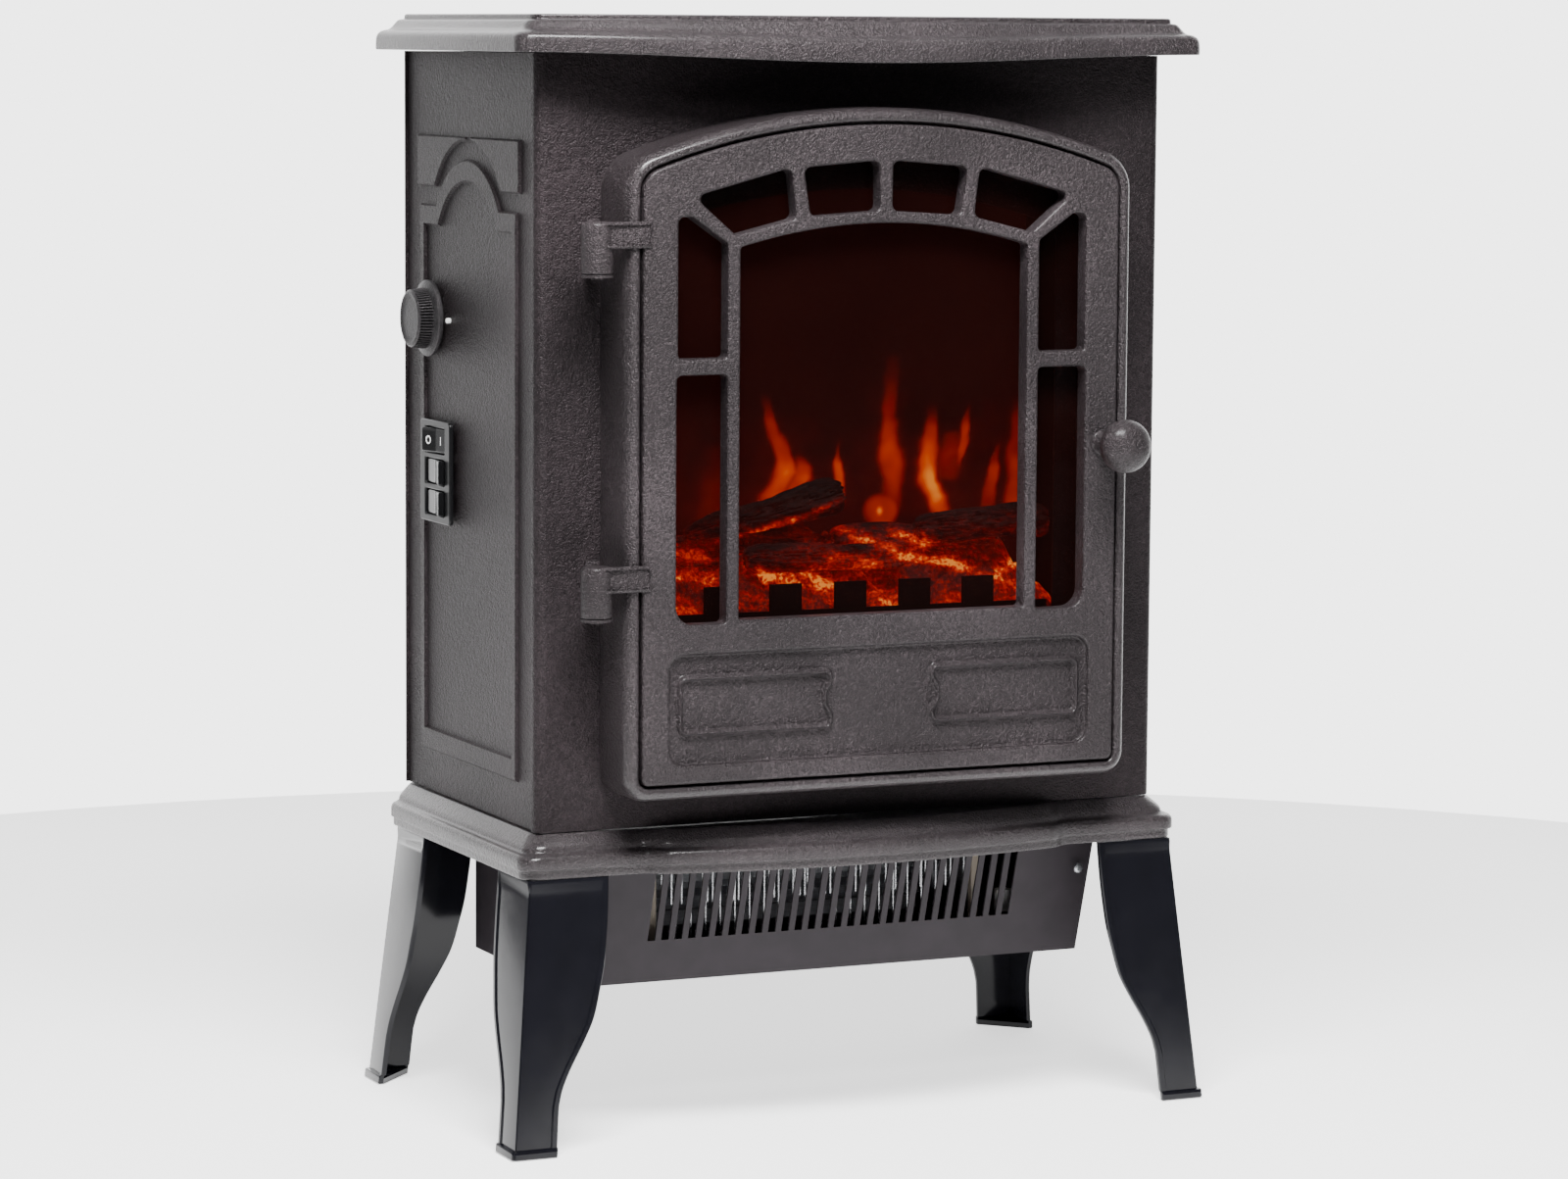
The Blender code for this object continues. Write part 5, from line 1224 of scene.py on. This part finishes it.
def build_logs():
    for number, (cx, cy, cz, length, radius, turn_z, lift, thin) in enumerate(LOG_SHAPES, 1):
        tilt = Matrix.Rotation(math.radians(turn_z), 3, "Z") @ Matrix.Rotation(math.radians(-lift), 3, "Y")
        along_steps, around = 90, 72
        rings = []
        for s in range(along_steps + 1):
            u = s / along_steps
            along = -length / 2 + length * u
            ring = []
            for k in range(around):
                t = 2 * math.pi * k / around
                c, d = math.cos(t), math.sin(t)
                bark = noise.noise(Vector((along * 45, 3.2 * c + 7 * number, 3.2 * d)))
                ridge = abs(noise.noise(Vector((along * 70, 7.5 * c, 7.5 * d + 11 * number))))
                lump = noise.noise(Vector((along * 24 + 3 * number, 1.3 * c, 1.3 * d)))
                grow = 0.97 + 0.26 * lump + 0.13 * bark - 0.18 * max(0.0, 0.22 - ridge) / 0.22
                grow -= thin * (1 - u)
                end = min(u, 1 - u) * length
                grow *= math.sqrt(max(0.0, 1 - max(0.0, 0.007 - end) ** 2 / 0.007**2 * 0.62))
                ragged = 0.0
                if u < 0.04 or u > 0.96:
                    ragged = 0.0022 * noise.noise(Vector((6 * c + number, 6 * d, 2.0)))
                p = tilt @ Vector((along + ragged, radius * grow * c, radius * grow * d))
                ring.append((cx + p.x, cy + p.y, cz + p.z))
            rings.append(ring)
        verts = [p for ring in rings for p in ring]
        faces = []
        for s in range(along_steps):
            for k in range(around):
                n = (k + 1) % around
                faces.append([s * around + k, s * around + n, (s + 1) * around + n, (s + 1) * around + k])
        for s in (0, along_steps):
            middle = [sum(p[i] for p in rings[s]) / around for i in range(3)]
            verts.append(tuple(middle))
            for k in range(around):
                faces.append([s * around + k, s * around + (k + 1) % around, len(verts) - 1])
        log = make("charred_log_%d" % number, verts, faces, CHAR, stands_for="log_%d" % number,
                   slot="charred_ceramic", angle=60)
        paint(log, ember_glow)


def build_bed():
    """A moulded heap of coals between the fret and the screen."""
    low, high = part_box("ember_bed")
    y0, y1 = low.y - FY, high.y - FY
    columns, rows = 300, 70
    verts = []
    for j in range(rows + 1):
        v = j / rows
        for i in range(columns + 1):
            u = i / columns
            x = low.x + (high.x - low.x) * u
            y = y0 + (y1 - y0) * v
            distance, spots = noise.voronoi(Vector((x * 80, y * 80, 1.7)))
            coal = min(1.0, (distance[1] - distance[0]) * 2.2)
            slope = 0.2735 + 0.0400 * (1 - (1 - min(1.0, v * 1.15)) ** 2) * min(1.0, 7 * min(u, 1 - u) + 0.3)
            side = min(1.0, 9 * min(u, 1 - u) + 0.25)
            z = slope + 0.0060 * coal * side + 0.0022 * noise.noise(Vector((x * 45, y * 45, 5.0)))
            z += 0.0007 * noise.noise(Vector((x * 260, y * 260, 2.0)))
            verts.append((x, y, z))
    faces, rim = net(rows, columns)
    start = len(verts)
    verts += [(verts[i][0], verts[i][1], low.z) for i in rim]
    faces += walls(rim, start)
    faces.append([start + k for k in range(len(rim))])
    heap = make("coal_heap", verts, faces, CHAR, stands_for="ember_bed", slot="charred_ceramic", angle=60)
    paint(heap, ember_glow)


build_screen()
build_logs()
build_bed()


# ---------------------------------------------------------------- heater
def build_coils():
    """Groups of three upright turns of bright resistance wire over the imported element."""
    low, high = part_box("heating_wire")
    y = low.y - FY - 0.0006  # just in front of the element
    verts = []
    faces = []

    def bar(x0, z0, x1, z1, thick):
        start = len(verts)
        for dy in (0, thick):
            verts.extend([(x0, y + dy, z0), (x1, y + dy, z0), (x1, y + dy, z1), (x0, y + dy, z1)])
        for quad in ((0, 1, 2, 3), (7, 6, 5, 4), (0, 4, 5, 1), (1, 5, 6, 2), (2, 6, 7, 3), (3, 7, 4, 0)):
            faces.append([start + i for i in quad])

    groups, spacing, half_wire = 10, 0.0030, 0.0004
    for g in range(groups):
        middle = low.x + (high.x - low.x) * (g + 0.5) / groups
        for k in (-1, 0, 1):
            x = middle + spacing * k
            bar(x - half_wire, high.z - 0.0170, x + half_wire, high.z + 0.0020, 0.0005)
    make("heater_coils", verts, faces, STEEL, slot="bright_steel", angle=30)


def build_screw(name, x, y, z, radius, axis="y"):
    head = [(0, -0.0011), (radius * 0.55, -0.0010), (radius * 0.9, -0.0006), (radius, 0.0), (radius, 0.0008),
            (0, 0.0008)]
    lathe(name, axis, (x, y, z), head, ZINC, 32, slot="zinc_plate", angle=40)


build_coils()
box_low, box_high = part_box("heater_box")
build_screw("heater_box_screw", 0.1461, box_low.y - FY, 0.128, 0.0028)

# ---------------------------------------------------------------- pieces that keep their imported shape
KEPT = (
    (HEATER, "heater_box"),
    (DOOR_BLACK, "hinge_bracket_upper hinge_bracket_lower hinge_pin_upper hinge_pin_lower"),
    (INNER, "fret"),
    (INNER, "fire_shelf fire_cheek_left fire_cheek_right fire_back glass_retainer"),
    (GLASS, "door_glass"),
    (PLASTIC, "cable_gland door_catch"),
    (WHITE, "switch_body_1 switch_body_2 switch_body_3 thermostat_body terminal_block thermal_cutout"),
    (STEEL, "door_strike fan_shaft rotor_spindle flame_rotor heating_wire"),
    (ZINC, "fan_impeller fan_bearing fan_motor flame_motor rotor_stand"),
    (BOARD, "led_board"),
    (MICA, "element_frame"),
)
for finish, names in KEPT:
    for name in names.split():
        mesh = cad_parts[name].data
        mesh.materials.clear()
        mesh.materials.append(finish)


# ---------------------------------------------------------------- room and light
def stage_piece(name, verts, faces, material):
    mesh = bpy.data.meshes.new(name)
    mesh.from_pydata(verts, [], faces)
    mesh.materials.append(material)
    obj = bpy.data.objects.new(name, mesh)
    bpy.context.scene.collection.objects.link(obj)
    return obj


FLOOR = Nodes("floor_white")
FLOOR.set(Roughness=0.95, Specular_IOR_Level=0.05, Emission_Strength=1.25)
FLOOR.shader.inputs["Base Color"].default_value = (0.9, 0.9, 0.9, 1)
along = FLOOR.new("ShaderNodeSeparateXYZ")
FLOOR.link(FLOOR.place(), along.inputs[0])
# the floor's emission is painted light: dim well in front of the heater, full nearer it and behind it
ahead = FLOOR.value("ADD", FLOOR.value("MULTIPLY", along.outputs["Y"], 0.5), 0.5)
FLOOR.link(FLOOR.ramp(ahead, [(0.17, (0.28, 0.28, 0.28)), (0.31, (1.06, 1.06, 1.06))]),
           FLOOR.shader.inputs["Emission Color"])
REACH = 1.15  # radius of the floor
disc = [(REACH * math.cos(math.pi * k / 48), REACH * math.sin(math.pi * k / 48), -0.0005) for k in range(96)]
stage_piece("floor", disc, [tuple(range(96))], FLOOR.material)


def softbox(name, place, aim, width, height, power, colour=(1, 1, 1)):
    data = bpy.data.lights.new(name, "AREA")
    data.shape = "RECTANGLE"
    data.size = width
    data.size_y = height
    data.energy = power
    data.color = colour
    lamp = bpy.data.objects.new(name, data)
    bpy.context.scene.collection.objects.link(lamp)
    away = Vector(place) - Vector(aim)
    lamp.matrix_world = Matrix.Translation(place) @ away.to_track_quat("Z", "Y").to_matrix().to_4x4()
    return lamp


softbox("key", (-0.75, -2.5, 2.3), (0, 0, 0.5), 0.5, 0.5, 26)
softbox("overhead", (-0.30, -0.68, 1.40), (0, -0.1, 0.5), 0.7, 0.30, 64)
softbox("rim_left", (-2.0, 1.7, 1.0), (0, 0, 0.35), 0.7, 1.4, 1.8)

world = bpy.data.worlds.new("studio")
bpy.context.scene.world = world
world.use_nodes = True
sky = world.node_tree
back_node = sky.nodes["Background"]
coords = sky.nodes.new("ShaderNodeTexCoord")
dot = sky.nodes.new("ShaderNodeVectorMath")
dot.operation = "DOT_PRODUCT"
dot.inputs[1].default_value = Vector((math.sin(YAW), math.cos(YAW), 0.0))
sky.links.new(coords.outputs["Generated"], dot.inputs[0])
shade = sky.nodes.new("ShaderNodeValToRGB")
shade.color_ramp.elements[0].position = 0.0
shade.color_ramp.elements[0].color = (0.05, 0.05, 0.051, 1)
shade.color_ramp.elements[1].position = 0.86
shade.color_ramp.elements[1].color = (1, 1, 1, 1)
side_level = shade.color_ramp.elements.new(0.64)
side_level.color = (0.15, 0.15, 0.152, 1)
sky.links.new(dot.outputs["Value"], shade.inputs["Fac"])
sky.links.new(shade.outputs["Color"], back_node.inputs["Color"])
back_node.inputs["Strength"].default_value = 4.0
